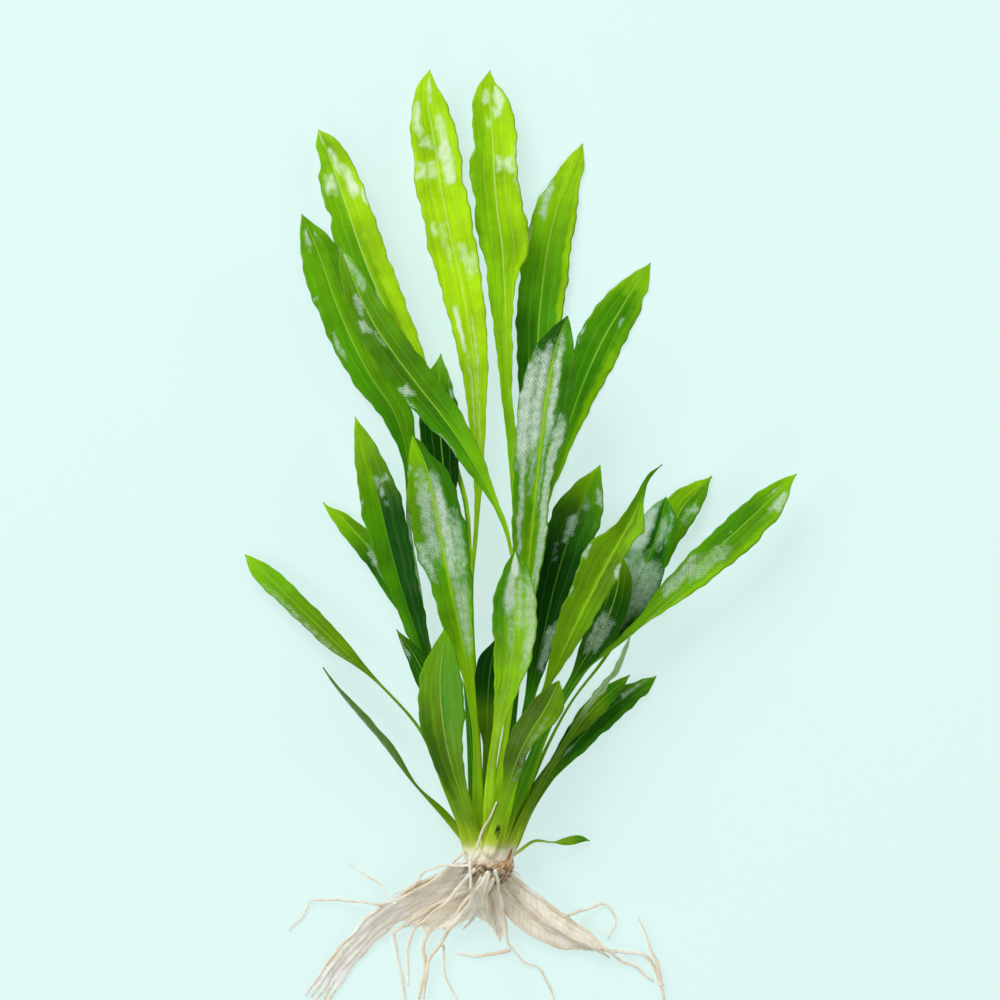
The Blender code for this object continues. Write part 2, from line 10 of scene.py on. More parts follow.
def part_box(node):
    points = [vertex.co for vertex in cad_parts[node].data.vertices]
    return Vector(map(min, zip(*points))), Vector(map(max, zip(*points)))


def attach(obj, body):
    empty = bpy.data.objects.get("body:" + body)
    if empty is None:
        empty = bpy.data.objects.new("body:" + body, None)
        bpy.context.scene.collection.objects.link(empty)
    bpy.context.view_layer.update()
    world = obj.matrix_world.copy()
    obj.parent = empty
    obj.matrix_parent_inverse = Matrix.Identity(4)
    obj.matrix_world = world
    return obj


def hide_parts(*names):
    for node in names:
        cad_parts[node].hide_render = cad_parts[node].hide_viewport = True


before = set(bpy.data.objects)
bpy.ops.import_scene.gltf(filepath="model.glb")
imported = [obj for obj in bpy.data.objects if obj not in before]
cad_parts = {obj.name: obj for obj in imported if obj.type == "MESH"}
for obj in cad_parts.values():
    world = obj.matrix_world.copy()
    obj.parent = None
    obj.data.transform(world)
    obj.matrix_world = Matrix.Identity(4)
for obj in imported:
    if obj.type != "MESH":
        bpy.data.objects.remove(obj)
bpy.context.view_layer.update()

# ---- Crown ----
# The short thick rootstock in which all leaves and roots meet: cream, firm tissue with the
# scars and brown remains of old leaf bases, and loose grey-brown fibres on its left side.

MM = 0.001
CROWN_AROUND = 120
CROWN_ALONG = 70
# the crown's outline from among the stalks to its lower end: share of its length, share of its radius
CROWN_SHAPE = ((-0.12, 0.70), (0.0, 0.78), (0.12, 0.86), (0.3, 0.96), (0.5, 0.98), (0.7, 0.86), (0.86, 0.66),
               (0.96, 0.40), (1.0, 0.10))
CROWN_LUMPS = 0.10  # this and the next three are shares of the radius
CROWN_KNOBS = 0.05
SCAR_DEPTH = 0.035
CROWN_INSET = 0.03
SCAR_RINGS = 17  # turns of the scars' wave over the crown's length, in radians
CROWN_FIT = 0.995  # the fine crown's length in lengths of the CAD crown


def linear(hex_code):
    """An sRGB hex colour as linear red, green, blue and alpha."""
    shares = [int(hex_code[k:k + 2], 16) / 255 for k in (1, 3, 5)]
    return (*[v / 12.92 if v < 0.04045 else ((v + 0.055) / 1.055) ** 2.4 for v in shares], 1.0)


def connect(tree, node, inputs):
    """Fills a node's sockets, by name or number: with a value or hex colour, or with a link."""
    for socket, value in dict(inputs).items():
        if isinstance(value, bpy.types.NodeSocket):
            tree.links.new(value, node.inputs[socket])
        else:
            is_colour = isinstance(value, str) and value.startswith("#")
            node.inputs[socket].default_value = linear(value) if is_colour else value
    return node


def add(tree, kind, inputs=(), **settings):
    """Adds a node with its settings and its inputs."""
    made = tree.nodes.new(kind)
    for setting, value in settings.items():
        setattr(made, setting, value)
    return connect(tree, made, inputs)


def ramp(tree, factor, stops):
    """A colour ramp: stops are pairs of a place and a hex colour or a grey level."""
    made = add(tree, "ShaderNodeValToRGB", {0: factor})
    band = made.color_ramp
    while len(band.elements) > 1:
        band.elements.remove(band.elements[-1])
    for number, (place, colour) in enumerate(stops):
        element = band.elements[0] if number == 0 else band.elements.new(place)
        element.position = place
        element.color = linear(colour) if isinstance(colour, str) else (colour, colour, colour, 1)
    return made.outputs[0]


def mixed(tree, share, first, second, kind="MIX"):
    """Two colours mixed in the given way."""
    made = add(tree, "ShaderNodeMix", {0: share, 6: first, 7: second}, data_type="RGBA", blend_type=kind)
    return made.outputs[2]


def product(tree, first, *others):
    """Colours or grey levels multiplied with each other."""
    for other in others:
        first = mixed(tree, 1.0, first, other, "MULTIPLY")
    return first


def mapped(tree, value, low, high, most=1.0):
    """0 where a value is low or less, most where it is high or more."""
    ends = {1: float(low), 2: float(high), 4: most}
    return add(tree, "ShaderNodeMapRange", {0: value, **ends}).outputs[0]


def noise_at(tree, place, scale, detail, **inputs):
    """Noise read at a place, about 0.5 on average."""
    noise_inputs = {"Vector": place, "Scale": scale, "Detail": detail, **inputs}
    return add(tree, "ShaderNodeTexNoise", noise_inputs).outputs[0]


def bump(tree, height, strength, depth):
    """The surface's direction with a relief on it that is as deep as given."""
    return add(tree, "ShaderNodeBump", {"Strength": strength, "Distance": depth, "Height": height}).outputs[0]


def new_material(name):
    """A new material, its node tree and the place on the object for its textures."""
    material = bpy.data.materials.new(name)
    material.use_nodes = True
    tree = material.node_tree
    return material, tree, add(tree, "ShaderNodeTexCoord").outputs["Object"]


def set_surface(tree, inputs):
    connect(tree, tree.nodes["Principled BSDF"], inputs)


def put(name, data):
    """A new object in the scene."""
    made = bpy.data.objects.new(name, data)
    bpy.context.scene.collection.objects.link(made)
    return made


def new_piece(name, points, faces, material):
    """A closed smooth mesh with its faces outwards, placed by its vertices."""
    points = np.asarray(points, float)
    faces = [tuple(face) for face in faces]
    volume = 0.0
    for face in faces:
        first = points[face[0]]
        for second, third in zip(face[1:], face[2:]):
            volume += np.dot(first, np.cross(points[second], points[third]))
    if volume < 0:
        faces = [face[::-1] for face in faces]
    mesh = bpy.data.meshes.new(name)
    mesh.from_pydata(points.tolist(), [], faces)
    mesh.shade_smooth()
    mesh.materials.append(material)
    return put(name, mesh)


def loft_faces(rings, around, flat=True):
    """Quads between rings of points, and closed ends: flat caps, or rows of quads on a thin sheet."""
    faces = []
    for r in range(rings - 1):
        for k in range(around):
            turn = (k + 1) % around
            faces.append((r * around + k, r * around + turn,
                          (r + 1) * around + turn, (r + 1) * around + k))
    caps = [tuple(range(around))]
    if not flat:
        half = around // 2
        caps = [(k, k + 1, around - k - 1, around - k) for k in range(1, half - 1)]
        caps += [(0, 1, around - 1), (half - 1, half, half + 1)]
    for cap in caps:
        faces.append(cap[::-1])
        faces.append(tuple((rings - 1) * around + k for k in cap))
    return faces


crown_low, crown_high = [np.array(corner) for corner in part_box("crown")]
crown_middle = (crown_low + crown_high) / 2
crown_half = (crown_high - crown_low) / 2
crown_top_y = crown_high[1]
crown_length = crown_top_y - crown_low[1]
crown_points = []
for along in np.linspace(0, 1, CROWN_ALONG):
    share = CROWN_SHAPE[0][0] + (1 - CROWN_SHAPE[0][0]) * math.sin(along * math.pi / 2) ** 0.9
    radius = np.interp(share, *zip(*CROWN_SHAPE))
    for k in range(CROWN_AROUND):
        turn = 2 * math.pi * k / CROWN_AROUND
        outward = Vector((math.sin(turn), 0, -math.cos(turn)))
        spot = Vector((outward.x, share * 2, outward.z))
        lumps = CROWN_LUMPS * noise.noise(spot * 1.7) + CROWN_KNOBS * noise.noise(spot * 4.3)
        ring = math.sin(share * SCAR_RINGS + 1.5 * noise.noise(spot * 1.3))
        scars = SCAR_DEPTH * (1 - abs(ring) ** 0.5)
        size = radius * (1 + lumps - scars - CROWN_INSET)
        crown_points.append((crown_middle[0] + outward.x * size * crown_half[0],
                             crown_top_y - share * crown_length * CROWN_FIT,
                             crown_middle[2] + outward.z * size * crown_half[2]))

# Living rootstock: cream-white above, tan and fibrous below, with a waxy, slightly moist skin;
# brown specks a millimetre or two wide where roots and old leaves have died off.
crown_skin, tree, place = new_material("rootstock_skin")
east, north, _ = add(tree, "ShaderNodeSeparateXYZ", {0: place}).outputs
height = mapped(tree, north, crown_top_y - crown_length, crown_top_y)
specks = noise_at(tree, place, 1 / (2.6 * MM), 5.0, Roughness=0.62)
grain = noise_at(tree, place, 1 / (0.9 * MM), 3.0)
ground = ramp(tree, height, ((0.0, "#A88A60"), (0.35, "#BFA27A"), (0.58, "#DCC6A2"),
                             (0.74, "#F2E8D6"), (0.86, "#EEEBC4"), (0.97, "#B9CB5C")))
speck_mask = ramp(tree, specks, ((0.47, 0.0), (0.55, 1.0)))
speck_zone = ramp(tree, height, ((0.12, 1.0), (0.52, 0.85), (0.66, 0.15), (0.8, 0.0)))
skin = mixed(tree, product(tree, speck_mask, speck_zone), ground, "#4A3420")
side = mapped(tree, east, crown_middle[0] + 2 * MM, crown_high[0])
side_zone = ramp(tree, height, ((0.35, 0.0), (0.5, 1.0), (0.9, 0.35)))
skin = mixed(tree, product(tree, side, side_zone, grain), skin, "#B8743A")
set_surface(tree, {"Base Color": skin, "Roughness": 0.5, "Subsurface Weight": 0.15,
                   "Subsurface Scale": 2 * MM, "Normal": bump(tree, grain, 0.6, 0.4 * MM)})

crown = new_piece("crown_rootstock", crown_points, loft_faces(CROWN_ALONG, CROWN_AROUND), crown_skin)
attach(crown, "root")
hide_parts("crown")

# ---- Root strands ----
# Soft adventitious roots that spread from the crown's underside: round, ivory to tan, uneven in
# thickness and gently wavy, each one grown out of the crown's tissue.

ROOT_AROUND = 12
ROOT_STEP = 0.8 * MM
ROOT_SUNK = 4 * MM  # how far a strand goes into the crown
BRANCH_SUNK = 1.5 * MM  # how far a side root goes into its strand
CROWN_NEAR = 16 * MM  # a strand that starts nearer to the crown's middle grows from the crown
ROOT_CORNERS = 4  # across the top of a CAD strand
FACING_UP = 0.02  # a CAD strip's top faces have normals with at least this height
ROOT_FIT = 0.84  # a strand's radius in half widths of its CAD strand
ROOT_END = 1.3  # by how much the last CAD row, which is pointed, is widened
ROOT_SWAY = 0.30 * MM
SWAY_START = 12 * MM  # from its start to here a strand begins to sway
ROOT_UNEVEN = 0.07  # share of its radius
TABLE_GAP = 0.02 * MM  # left between the plant and the table


def rows_from(row):
    """Rows of corners, each one reached over the edges from the one before."""
    seen = set(row)
    rows = []
    while row:
        rows.append(np.array([vertex.co for vertex in row]))
        reached = {edge.other_vert(vertex) for vertex in row for edge in vertex.link_edges}
        row = list(reached - seen)
        seen |= reached
    return rows


def strip_rows(node, corners):
    """The rows of corners across the top of a CAD strip, in order from its end at the crown."""
    top = bmesh.new()
    top.from_mesh(node.data)
    bmesh.ops.remove_doubles(top, verts=top.verts, dist=0.01 * MM)
    top.normal_update()
    bmesh.ops.delete(top, geom=[face for face in top.faces if face.normal.z < FACING_UP], context="FACES")
    target = Vector(crown_middle)
    nearest = sorted(top.verts, key=lambda vertex: (vertex.co - target).length)
    for first in nearest:
        row = sorted(nearest, key=lambda vertex: (vertex.co - first.co).length)[:corners]
        rows = rows_from(row)
        if all(len(row) == corners for row in rows):
            top.free()
            return rows
    raise ValueError(node.name + " isn't a strip")


def lengths_along(points):
    """How far each point of a line is from its start, or those of several lines side by side."""
    steps = np.linalg.norm(np.diff(points, axis=0), axis=-1)
    return np.concatenate([np.zeros_like(steps[:1]), np.cumsum(steps, axis=0)])


def smooth(at, values, wanted, steady=False):
    """A smooth curve through values given at rising places; a steady one never overshoots them."""
    values = np.asarray(values, float)
    columns = values.reshape(len(at), -1)
    step = np.diff(at)[:, None]
    rise = np.diff(columns, axis=0) / step
    slope = np.gradient(columns, at, axis=0)
    if steady:
        both, total = rise[:-1] * rise[1:], rise[:-1] + rise[1:]
        inner = np.where(both > 0, 2 * both / np.where(both > 0, total, 1), 0)
        slope = np.concatenate([rise[:1], inner, rise[-1:]])
    k = np.clip(np.searchsorted(at, wanted, side="right") - 1, 0, len(at) - 2)
    h = step[k]
    t = ((np.asarray(wanted) - np.asarray(at)[k])[:, None]) / h
    curve = ((1 + 2 * t) * (1 - t) ** 2 * columns[k] + t * (1 - t) ** 2 * h * slope[k]
             + t * t * (3 - 2 * t) * columns[k + 1] + t * t * (t - 1) * h * slope[k + 1])
    return curve.reshape((len(wanted),) + values.shape[1:])


def waves(random, at, lengths_mm):
    """An irregular wave between about -1 and 1: a few sines of the given wave lengths."""
    turns = [at / (length * MM) for length in lengths_mm]
    total = sum(np.sin(2 * math.pi * turn + random.uniform(0, 2 * math.pi)) for turn in turns)
    return total / len(turns) ** 0.5


def tube_points(path, radius, random, around=ROOT_AROUND):
    """Rings of points round a path, a little uneven like a root's skin."""
    along = lengths_along(path)
    tangent = np.gradient(path, along, axis=0)
    tangent /= np.linalg.norm(tangent, axis=1)[:, None]
    right = np.cross(tangent, (0, 0, 1))
    right /= np.linalg.norm(right, axis=1)[:, None]
    up = np.cross(right, tangent)
    rings = []
    lump = [waves(random, along, (2.1, 3.4, 7.3)) for k in range(3)]
    for k in range(around):
        turn = 2 * math.pi * k / around
        uneven = (lump[0] + lump[1] * math.cos(turn) + lump[2] * math.sin(turn)) / 1.5
        size = (radius * (1 + ROOT_UNEVEN * uneven))[:, None]
        rings.append(path + size * (math.cos(turn) * right + math.sin(turn) * up))
    return np.stack(rings, axis=1).reshape(-1, 3)


# Root skin: moist, slightly see-through, ivory with tan stretches a few millimetres long.
root_skin, tree, place = new_material("root_skin")
stretch = noise_at(tree, place, 1 / (9 * MM), 4.0)
grain = noise_at(tree, place, 1 / (0.8 * MM), 3.0)
root_colour = ramp(tree, stretch, ((0.32, "#E4D1B2"), (0.47, "#F0E4CE"), (0.60, "#F7F0E2"),
                                   (0.75, "#FBF7F0")))
mottle = ramp(tree, grain, ((0.35, 0.86), (0.6, 1.0)))
set_surface(tree, {
    "Base Color": product(tree, root_colour, mottle), "Roughness": 0.48, "Subsurface Weight": 0.25,
    "Subsurface Radius": (1.0, 0.8, 0.5), "Subsurface Scale": 1.2 * MM,
    "Normal": bump(tree, grain, 0.35, 0.15 * MM)})

root_paths = {}
for number, name in enumerate(sorted(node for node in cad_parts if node.startswith("root_"))):
    random = np.random.default_rng(100 + number)
    rows = strip_rows(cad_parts[name], ROOT_CORNERS)
    edges = np.array([row[np.argsort(row[:, 2])[:2]] for row in rows])
    centres = edges.mean(axis=1)
    widths = np.linalg.norm(edges[:, 0] - edges[:, 1], axis=1) / 2
    widths[-1] *= ROOT_END
    sunk = ROOT_SUNK if np.linalg.norm(centres[0] - crown_middle) < CROWN_NEAR else BRANCH_SUNK
    start = centres[0] + (centres[0] - centres[1]) / np.linalg.norm(centres[0] - centres[1]) * sunk
    centres = np.vstack([start, centres])
    widths = np.concatenate([widths[:1], widths])
    along = lengths_along(centres)
    wanted = np.linspace(0, along[-1], int(along[-1] / ROOT_STEP) + 2)
    path = smooth(along, centres, wanted)
    sway = ROOT_SWAY * np.clip(wanted / SWAY_START, 0, 1)
    path[:, 0] += sway * waves(random, wanted, (13, 21, 34))
    path[:, 1] += sway * waves(random, wanted, (12, 25))
    radius = smooth(along, widths, wanted, steady=True) * ROOT_FIT
    path[:, 2] = np.maximum(path[:, 2], 1.1 * radius + TABLE_GAP)
    root_paths[name] = (path, radius)
    strand = new_piece(name + "_strand", tube_points(path, radius, random),
                       loft_faces(len(path), ROOT_AROUND), root_skin)
    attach(strand, "root")
    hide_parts(name)

# ---- Root felt and rootlets ----
# Between neighbouring strands near the crown grows a thin moist felt of the finest rootlets; it
# binds the wide left bundle into one strap. Loose rootlets and dead fibres stand on felt and crown.

FELT_ROWS = 70
FELT_COLUMNS = 7  # between one strand and the next
FELT_HALF = 0.28 * MM  # half the thickness of the felt
FELT_SAG = 0.3 * MM  # between two strands
FELT_BAY = 0.08  # by this share a felt ends earlier between two strands than at them
FELT_LUMPS = 0.35 * MM
FELT_GAP = 0.12 * MM  # left between a felt and the table
# strands from left to right, each with the shares of its length where the felt starts and ends;
# then how pale the felt's colour is painted towards its end, as light from the pale table shining
# through, and how far above the strands' middles it lies, in their radii
FELTS = {
    "left_strap": ((("root_05", 0.03, 1.0), ("root_04", 0.03, 1.0), ("root_03", 0.03, 1.0),
                    ("root_02", 0.03, 1.0), ("root_01", 0.03, 1.0)), 0.9, 0.75),
    "left_fan": ((("root_01", 0.03, 0.45), ("root_06", 0.03, 0.56), ("root_07", 0.05, 0.54),
                  ("root_23", 0.07, 0.52), ("root_18", 0.1, 0.8)), 0.25, -0.2),
    "middle": ((("root_18", 0.12, 0.72), ("root_08", 0.03, 0.98), ("root_21", 0.12, 0.5)), 0.2, -0.2),
    "right_fan": ((("root_08", 0.03, 0.5), ("root_09", 0.03, 1.0), ("root_10", 0.03, 0.60),
                   ("root_11", 0.03, 0.98), ("root_12", 0.03, 0.70)), 0.3, 0.1),
}
THREAD_LOW = 0.3 * MM  # no thread's middle line lies lower above the table
THREAD_TAPER = 0.35  # its thickness at the end, as a share of that at the start
THREAD_POINTS, THREAD_AROUND = 11, 5
THREAD_SIZES = (0.4, 1.2)  # shortest and longest, in shares of the length asked for
THREAD_BENDS = 7 * MM  # size of the bends
THREAD_FACING = -0.1  # threads grow on faces whose normals have more height than this
FIBRE_START = 0.38  # the fibres on the crown begin at this share of its length
FIBRE_SPREAD = 8 * MM  # over which they get sparser from the left to the right
# start, middle and end of each strip of sheath, in mm right of and above the crown's middle
STRIPS = (((9.2, 6.8), (7.4, 3.2), (3.4, 0.4)), ((8.0, 4.2), (5.6, 0.6), (2.2, -1.0)),
          ((9.6, 3.0), (8.4, -0.4), (7.0, -3.2)))
STRIP_RINGS = 24
STRIP_RADIUS = 0.55 * MM


def felt_points(members, lift, random):
    """Rows of points across a felt, at the middle of its thickness."""
    share = np.linspace(0, 1, FELT_ROWS)
    lines = []
    for strand, first, last in members:
        path, radius = root_paths[strand]
        along = lengths_along(path)
        ragged = last * (1 + random.uniform(-0.05, 0.05))
        wanted = along[-1] * (first + (ragged - first) * share)
        line = smooth(along, path, np.clip(wanted, 0, along[-1]))
        line[:, 2] += lift * np.interp(wanted, along, radius)
        lines.append(line)
    columns = []
    for line, after in zip(lines, lines[1:]):
        for k in range(FELT_COLUMNS):
            mix = k / FELT_COLUMNS
            between = math.sin(math.pi * mix)
            bay = FELT_BAY * between * (1 + random.uniform(-0.5, 0.5))
            reached = share * (1 - bay * share ** 3)
            column = np.stack([np.interp(reached, share, (line * (1 - mix) + after * mix)[:, axis])
                               for axis in range(3)], axis=1)
            column[:, 2] -= FELT_SAG * between
            columns.append(column)
    columns.append(lines[-1])
    return np.stack(columns, axis=1)


def closed_loop(top, bottom=None):
    """Rows of values across a sheet's top and back across its underside."""
    bottom = top if bottom is None else bottom
    return np.concatenate([top, bottom[:, -2:0:-1]], axis=1)


def calculate(tree, operation, *values):
    """A math node's result."""
    return add(tree, "ShaderNodeMath", enumerate(values), operation=operation).outputs[0]


def drawn_out(tree, across, along, share, third=0.0):
    """A place for textures that are drawn out lengthwise: only a share of the length counts."""
    slow = calculate(tree, "MULTIPLY", along, share)
    return add(tree, "ShaderNodeCombineXYZ", {0: across, 1: slow, 2: third}).outputs[0]


# Felt: beige and matt with fine streaks along the strands, half a millimetre apart; where it
# is thin at its far end its colour is painted whitish, as light from the pale table shining through.
felt_skin, tree, spot = new_material("root_felt")
place = add(tree, "ShaderNodeAttribute", attribute_name="place").outputs["Vector"]
across, along, pale = add(tree, "ShaderNodeSeparateXYZ", {0: place}).outputs
streaks = noise_at(tree, drawn_out(tree, across, along, 0.10, pale), 1.5, 4.0, Distortion=0.3)
grain = noise_at(tree, spot, 1 / (1.4 * MM), 4.0)
felt_colour = ramp(tree, streaks, ((0.32, "#E6D2B2"), (0.45, "#F4E6CE"), (0.56, "#FBF2E2"),
                                   (0.70, "#FFFBF4")))
felt_colour = product(tree, felt_colour, ramp(tree, grain, ((0.35, 0.97), (0.6, 1.0))))
# the whitish colour mixed in towards the felt's end is painted light from the table shining through
set_surface(tree, {
    "Base Color": mixed(tree, pale, felt_colour, "#FAFCF8"), "Roughness": 0.6, "Specular IOR Level": 0.2,
    "Subsurface Weight": 0.3, "Subsurface Radius": (1.0, 0.85, 0.6), "Subsurface Scale": 1.5 * MM,
    "Normal": bump(tree, streaks, 0.15, 0.1 * MM)})

# Rootlets: the finest living roots, nearly white and a little see-through.
rootlet_skin, tree, _ = new_material("rootlet_skin")
set_surface(tree, {"Base Color": "#F8EFDF", "Roughness": 0.5, "Subsurface Weight": 0.3,
                   "Subsurface Scale": 0.6 * MM})

# Dead fibres: dry grey-brown threads, the remains of old leaf bases and roots.
dead_fibre, tree, spot = new_material("dead_fibre")
tone = noise_at(tree, spot, 1 / (2 * MM), 3.0)
fibre_colour = ramp(tree, tone, ((0.35, "#6E5638"), (0.5, "#A68A62"), (0.65, "#CDB894")))
set_surface(tree, {"Base Color": fibre_colour, "Roughness": 0.8})


def thread_tree():
    """Geometry nodes that grow fine threads on a mesh, along its "flow" and by its "growth"."""
    tree = bpy.data.node_groups.new("threads", "GeometryNodeTree")
    for socket, kind in (("Mesh", "Geometry"), ("Density", "Float"), ("Length", "Float"), ("Radius", "Float"),
                         ("Wander", "Float"), ("Seed", "Int"), ("Material", "Material")):
        tree.interface.new_socket(socket, in_out="INPUT", socket_type="NodeSocket" + kind)
    tree.interface.new_socket("Threads", in_out="OUTPUT", socket_type="NodeSocketGeometry")

    def step(kind, inputs=(), output=0, **settings):
        return add(tree, kind, inputs, **settings).outputs[output]

    given = add(tree, "NodeGroupInput").outputs
    growth = step("GeometryNodeInputNamedAttribute", {"Name": "growth"}, data_type="FLOAT")
    flow = step("GeometryNodeInputNamedAttribute", {"Name": "flow"}, data_type="FLOAT_VECTOR")
    upwards = step("ShaderNodeSeparateXYZ", {0: step("GeometryNodeInputNormal")}, output=2)
    facing = step("FunctionNodeCompare", {0: upwards, 1: THREAD_FACING}, data_type="FLOAT",
                  operation="GREATER_THAN")
    points = step("GeometryNodeDistributePointsOnFaces", {
        "Mesh": given["Mesh"], "Selection": facing, "Seed": given["Seed"],
        "Density": calculate(tree, "MULTIPLY", given["Density"], growth)})
    turn = step("FunctionNodeAlignRotationToVector", {"Vector": flow}, axis="Z")
    line = step("GeometryNodeCurvePrimitiveLine", {"Start": (0, 0, -0.5), "End": (0, 0, 0.5)})
    line = step("GeometryNodeResampleCurve", {"Curve": line, "Count": THREAD_POINTS})
    size = step("FunctionNodeRandomValue", {2: THREAD_SIZES[0], 3: THREAD_SIZES[1], "Seed": given["Seed"]},
                output=1, data_type="FLOAT")
    threads = step("GeometryNodeInstanceOnPoints", {
        "Points": points, "Instance": line, "Rotation": turn,
        "Scale": calculate(tree, "MULTIPLY", size, given["Length"])})
    threads = step("GeometryNodeRealizeInstances", {0: threads})
    bend = step("ShaderNodeTexNoise", {"Scale": 1 / THREAD_BENDS, "Detail": 2.0}, output="Color")
    # the noise is 0.5 on average, and with a little less taken off their height the threads rise
    bend = step("ShaderNodeVectorMath", {0: bend, 1: (0.5, 0.5, 0.45)}, operation="SUBTRACT")
    bend = step("ShaderNodeVectorMath", {0: bend, "Scale": given["Wander"]}, operation="SCALE")
    threads = step("GeometryNodeSetPosition", {"Geometry": threads, "Offset": bend})
    x, y, z = add(tree, "ShaderNodeSeparateXYZ", {0: step("GeometryNodeInputPosition")}).outputs
    above = step("ShaderNodeCombineXYZ", {0: x, 1: y, 2: calculate(tree, "MAXIMUM", z, THREAD_LOW)})
    threads = step("GeometryNodeSetPosition", {"Geometry": threads, "Position": above})
    taper = step("ShaderNodeMapRange", {0: step("GeometryNodeSplineParameter"), 3: 1.0, 4: THREAD_TAPER})
    ring = step("GeometryNodeCurvePrimitiveCircle", {"Resolution": THREAD_AROUND, "Radius": given["Radius"]})
    threads = step("GeometryNodeCurveToMesh", {"Curve": threads, "Profile Curve": ring, "Scale": taper,
                                               "Fill Caps": True})
    threads = step("GeometryNodeSetMaterial", {"Geometry": threads, "Material": given["Material"]})
    add(tree, "NodeGroupOutput", {0: threads})
    return tree


def grow_threads(name, carrier, material, seed, density, length, radius, wander):
    """Threads grown on a carrier mesh and baked to a piece of their own.

    density: threads per square mm. length, radius, wander: in mm.
    """
    ground = put(name + "_ground", carrier)
    growing = ground.modifiers.new("threads", "NODES")
    growing.node_group = thread_nodes
    wanted = {"Density": density / MM ** 2, "Length": length * MM, "Radius": radius * MM,
              "Wander": wander * MM, "Seed": seed, "Material": material}
    for socket in thread_nodes.interface.items_tree:
        if socket.in_out == "INPUT" and socket.name in wanted:
            growing[socket.identifier] = wanted[socket.name]
    bpy.context.view_layer.update()
    grown = ground.evaluated_get(bpy.context.evaluated_depsgraph_get())
    mesh = bpy.data.meshes.new_from_object(grown)
    bpy.data.objects.remove(ground)
    mesh.name = name
    mesh.shade_smooth()
    threads = put(name, mesh)
    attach(threads, "root")


def set_attribute(mesh, name, kind, values):
    """A named value for each corner point of a mesh, for its material or its threads."""
    attribute = mesh.attributes.new(name, kind, "POINT")
    key = {"FLOAT": "value", "FLOAT_VECTOR": "vector", "FLOAT_COLOR": "color"}[kind]
    attribute.data.foreach_set(key, np.asarray(values, np.float32).reshape(-1))


thread_nodes = thread_tree()
for number, (name, (members, paleness, lift)) in enumerate(FELTS.items()):
    random = np.random.default_rng(300 + number)
    grid = felt_points(members, lift, random)
    rows, columns = grid.shape[:2]
    for r in range(rows):
        for c in range(columns):
            grid[r, c, 2] += FELT_LUMPS * noise.noise(Vector(grid[r, c]) / (5 * MM))
    edge = np.sin(np.linspace(0, math.pi, columns)) ** 0.3
    end = np.clip(np.linspace(rows - 1, 0, rows) / 5, 0.15, 1) ** 0.6
    half = FELT_HALF * edge[None, :] * end[:, None]
    grid[:, :, 2] = np.maximum(grid[:, :, 2], half + FELT_GAP)
    top, bottom = grid.copy(), grid.copy()
    top[:, :, 2] += half
    bottom[:, :, 2] -= half
    loop = closed_loop(top, bottom)
    faces = loft_faces(*loop.shape[:2], flat=False)
    felt = new_piece(name + "_felt", loop.reshape(-1, 3), faces, felt_skin)
    flow = np.gradient(grid, axis=0)
    flow /= np.maximum(np.linalg.norm(flow, axis=2), 0.001 * MM)[:, :, None]
    aside = lengths_along(grid.swapaxes(0, 1)).T
    ahead = lengths_along(grid)
    pale = np.broadcast_to(paleness * np.linspace(0, 1, rows)[:, None] ** 1.5, (rows, columns))
    place = np.dstack([aside / MM, ahead / MM, pale])
    set_attribute(felt.data, "place", "FLOAT_VECTOR", closed_loop(place))
    set_attribute(felt.data, "flow", "FLOAT_VECTOR", closed_loop(flow))
    set_attribute(felt.data, "growth", "FLOAT", np.ones(len(felt.data.vertices)))
    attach(felt, "root")
    grow_threads(name + "_rootlets", felt.data, rootlet_skin, number, density=0.07, length=11, radius=0.12,
                 wander=1.3)

# fibres round the crown's lower half: outwards and down, thickest on the left
low_down = []
flows = []
for vertex in crown.data.vertices:
    offset = np.array(vertex.co) - crown_middle
    share = (crown_top_y - vertex.co.y) / crown_length
    leftwards = np.clip(0.75 - offset[0] / FIBRE_SPREAD, 0.25, 1.4)
    low_down.append(np.clip((share - FIBRE_START) * 4, 0, 1) * leftwards)
    flow = np.array([1.3 * offset[0] - 1.5 * MM, -6 * MM, 0.3 * offset[2]])
    flows.append(flow / np.linalg.norm(flow))
fibre_ground = crown.data.copy()
set_attribute(fibre_ground, "growth", "FLOAT", low_down)
set_attribute(fibre_ground, "flow", "FLOAT_VECTOR", flows)
grow_threads("crown_fibres", fibre_ground, dead_fibre, 20, density=0.7, length=5.5, radius=0.15, wander=3.2)
grow_threads("crown_rootlets", fibre_ground, root_skin, 21, density=0.5, length=9, radius=0.2, wander=3.0)

# The torn brown sheath of an old leaf on the crown's right side: dry strips a millimetre wide.
sheath_skin, tree, spot = new_material("old_sheath")
tone = noise_at(tree, spot, 1 / (2.2 * MM), 4.0)
sheath_colour = ramp(tree, tone, ((0.35, "#8A5A32"), (0.5, "#B98A58"), (0.65, "#DDBE94")))
set_surface(tree, {"Base Color": sheath_colour, "Roughness": 0.6})
for number, strip in enumerate(STRIPS):
    random = np.random.default_rng(400 + number)
    spots = []
    for right, up in np.array(strip) * MM:
        depth = math.sqrt(max(0.02, 1 - (right / crown_half[0]) ** 2 - 0.5 * (up / crown_half[1]) ** 2))
        spots.append(crown_middle + np.array([right, up, depth * crown_half[2] * 0.98]))
    at = lengths_along(np.array(spots))
    path = smooth(at, np.array(spots), np.linspace(0, at[-1], STRIP_RINGS))
    radius = STRIP_RADIUS * np.sin(np.linspace(0.35, math.pi - 0.15, STRIP_RINGS)) ** 0.7
    piece = new_piece("old_sheath_%d" % (number + 1), tube_points(path, radius, random),
                      loft_faces(len(path), ROOT_AROUND), sheath_skin)
    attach(piece, "root")
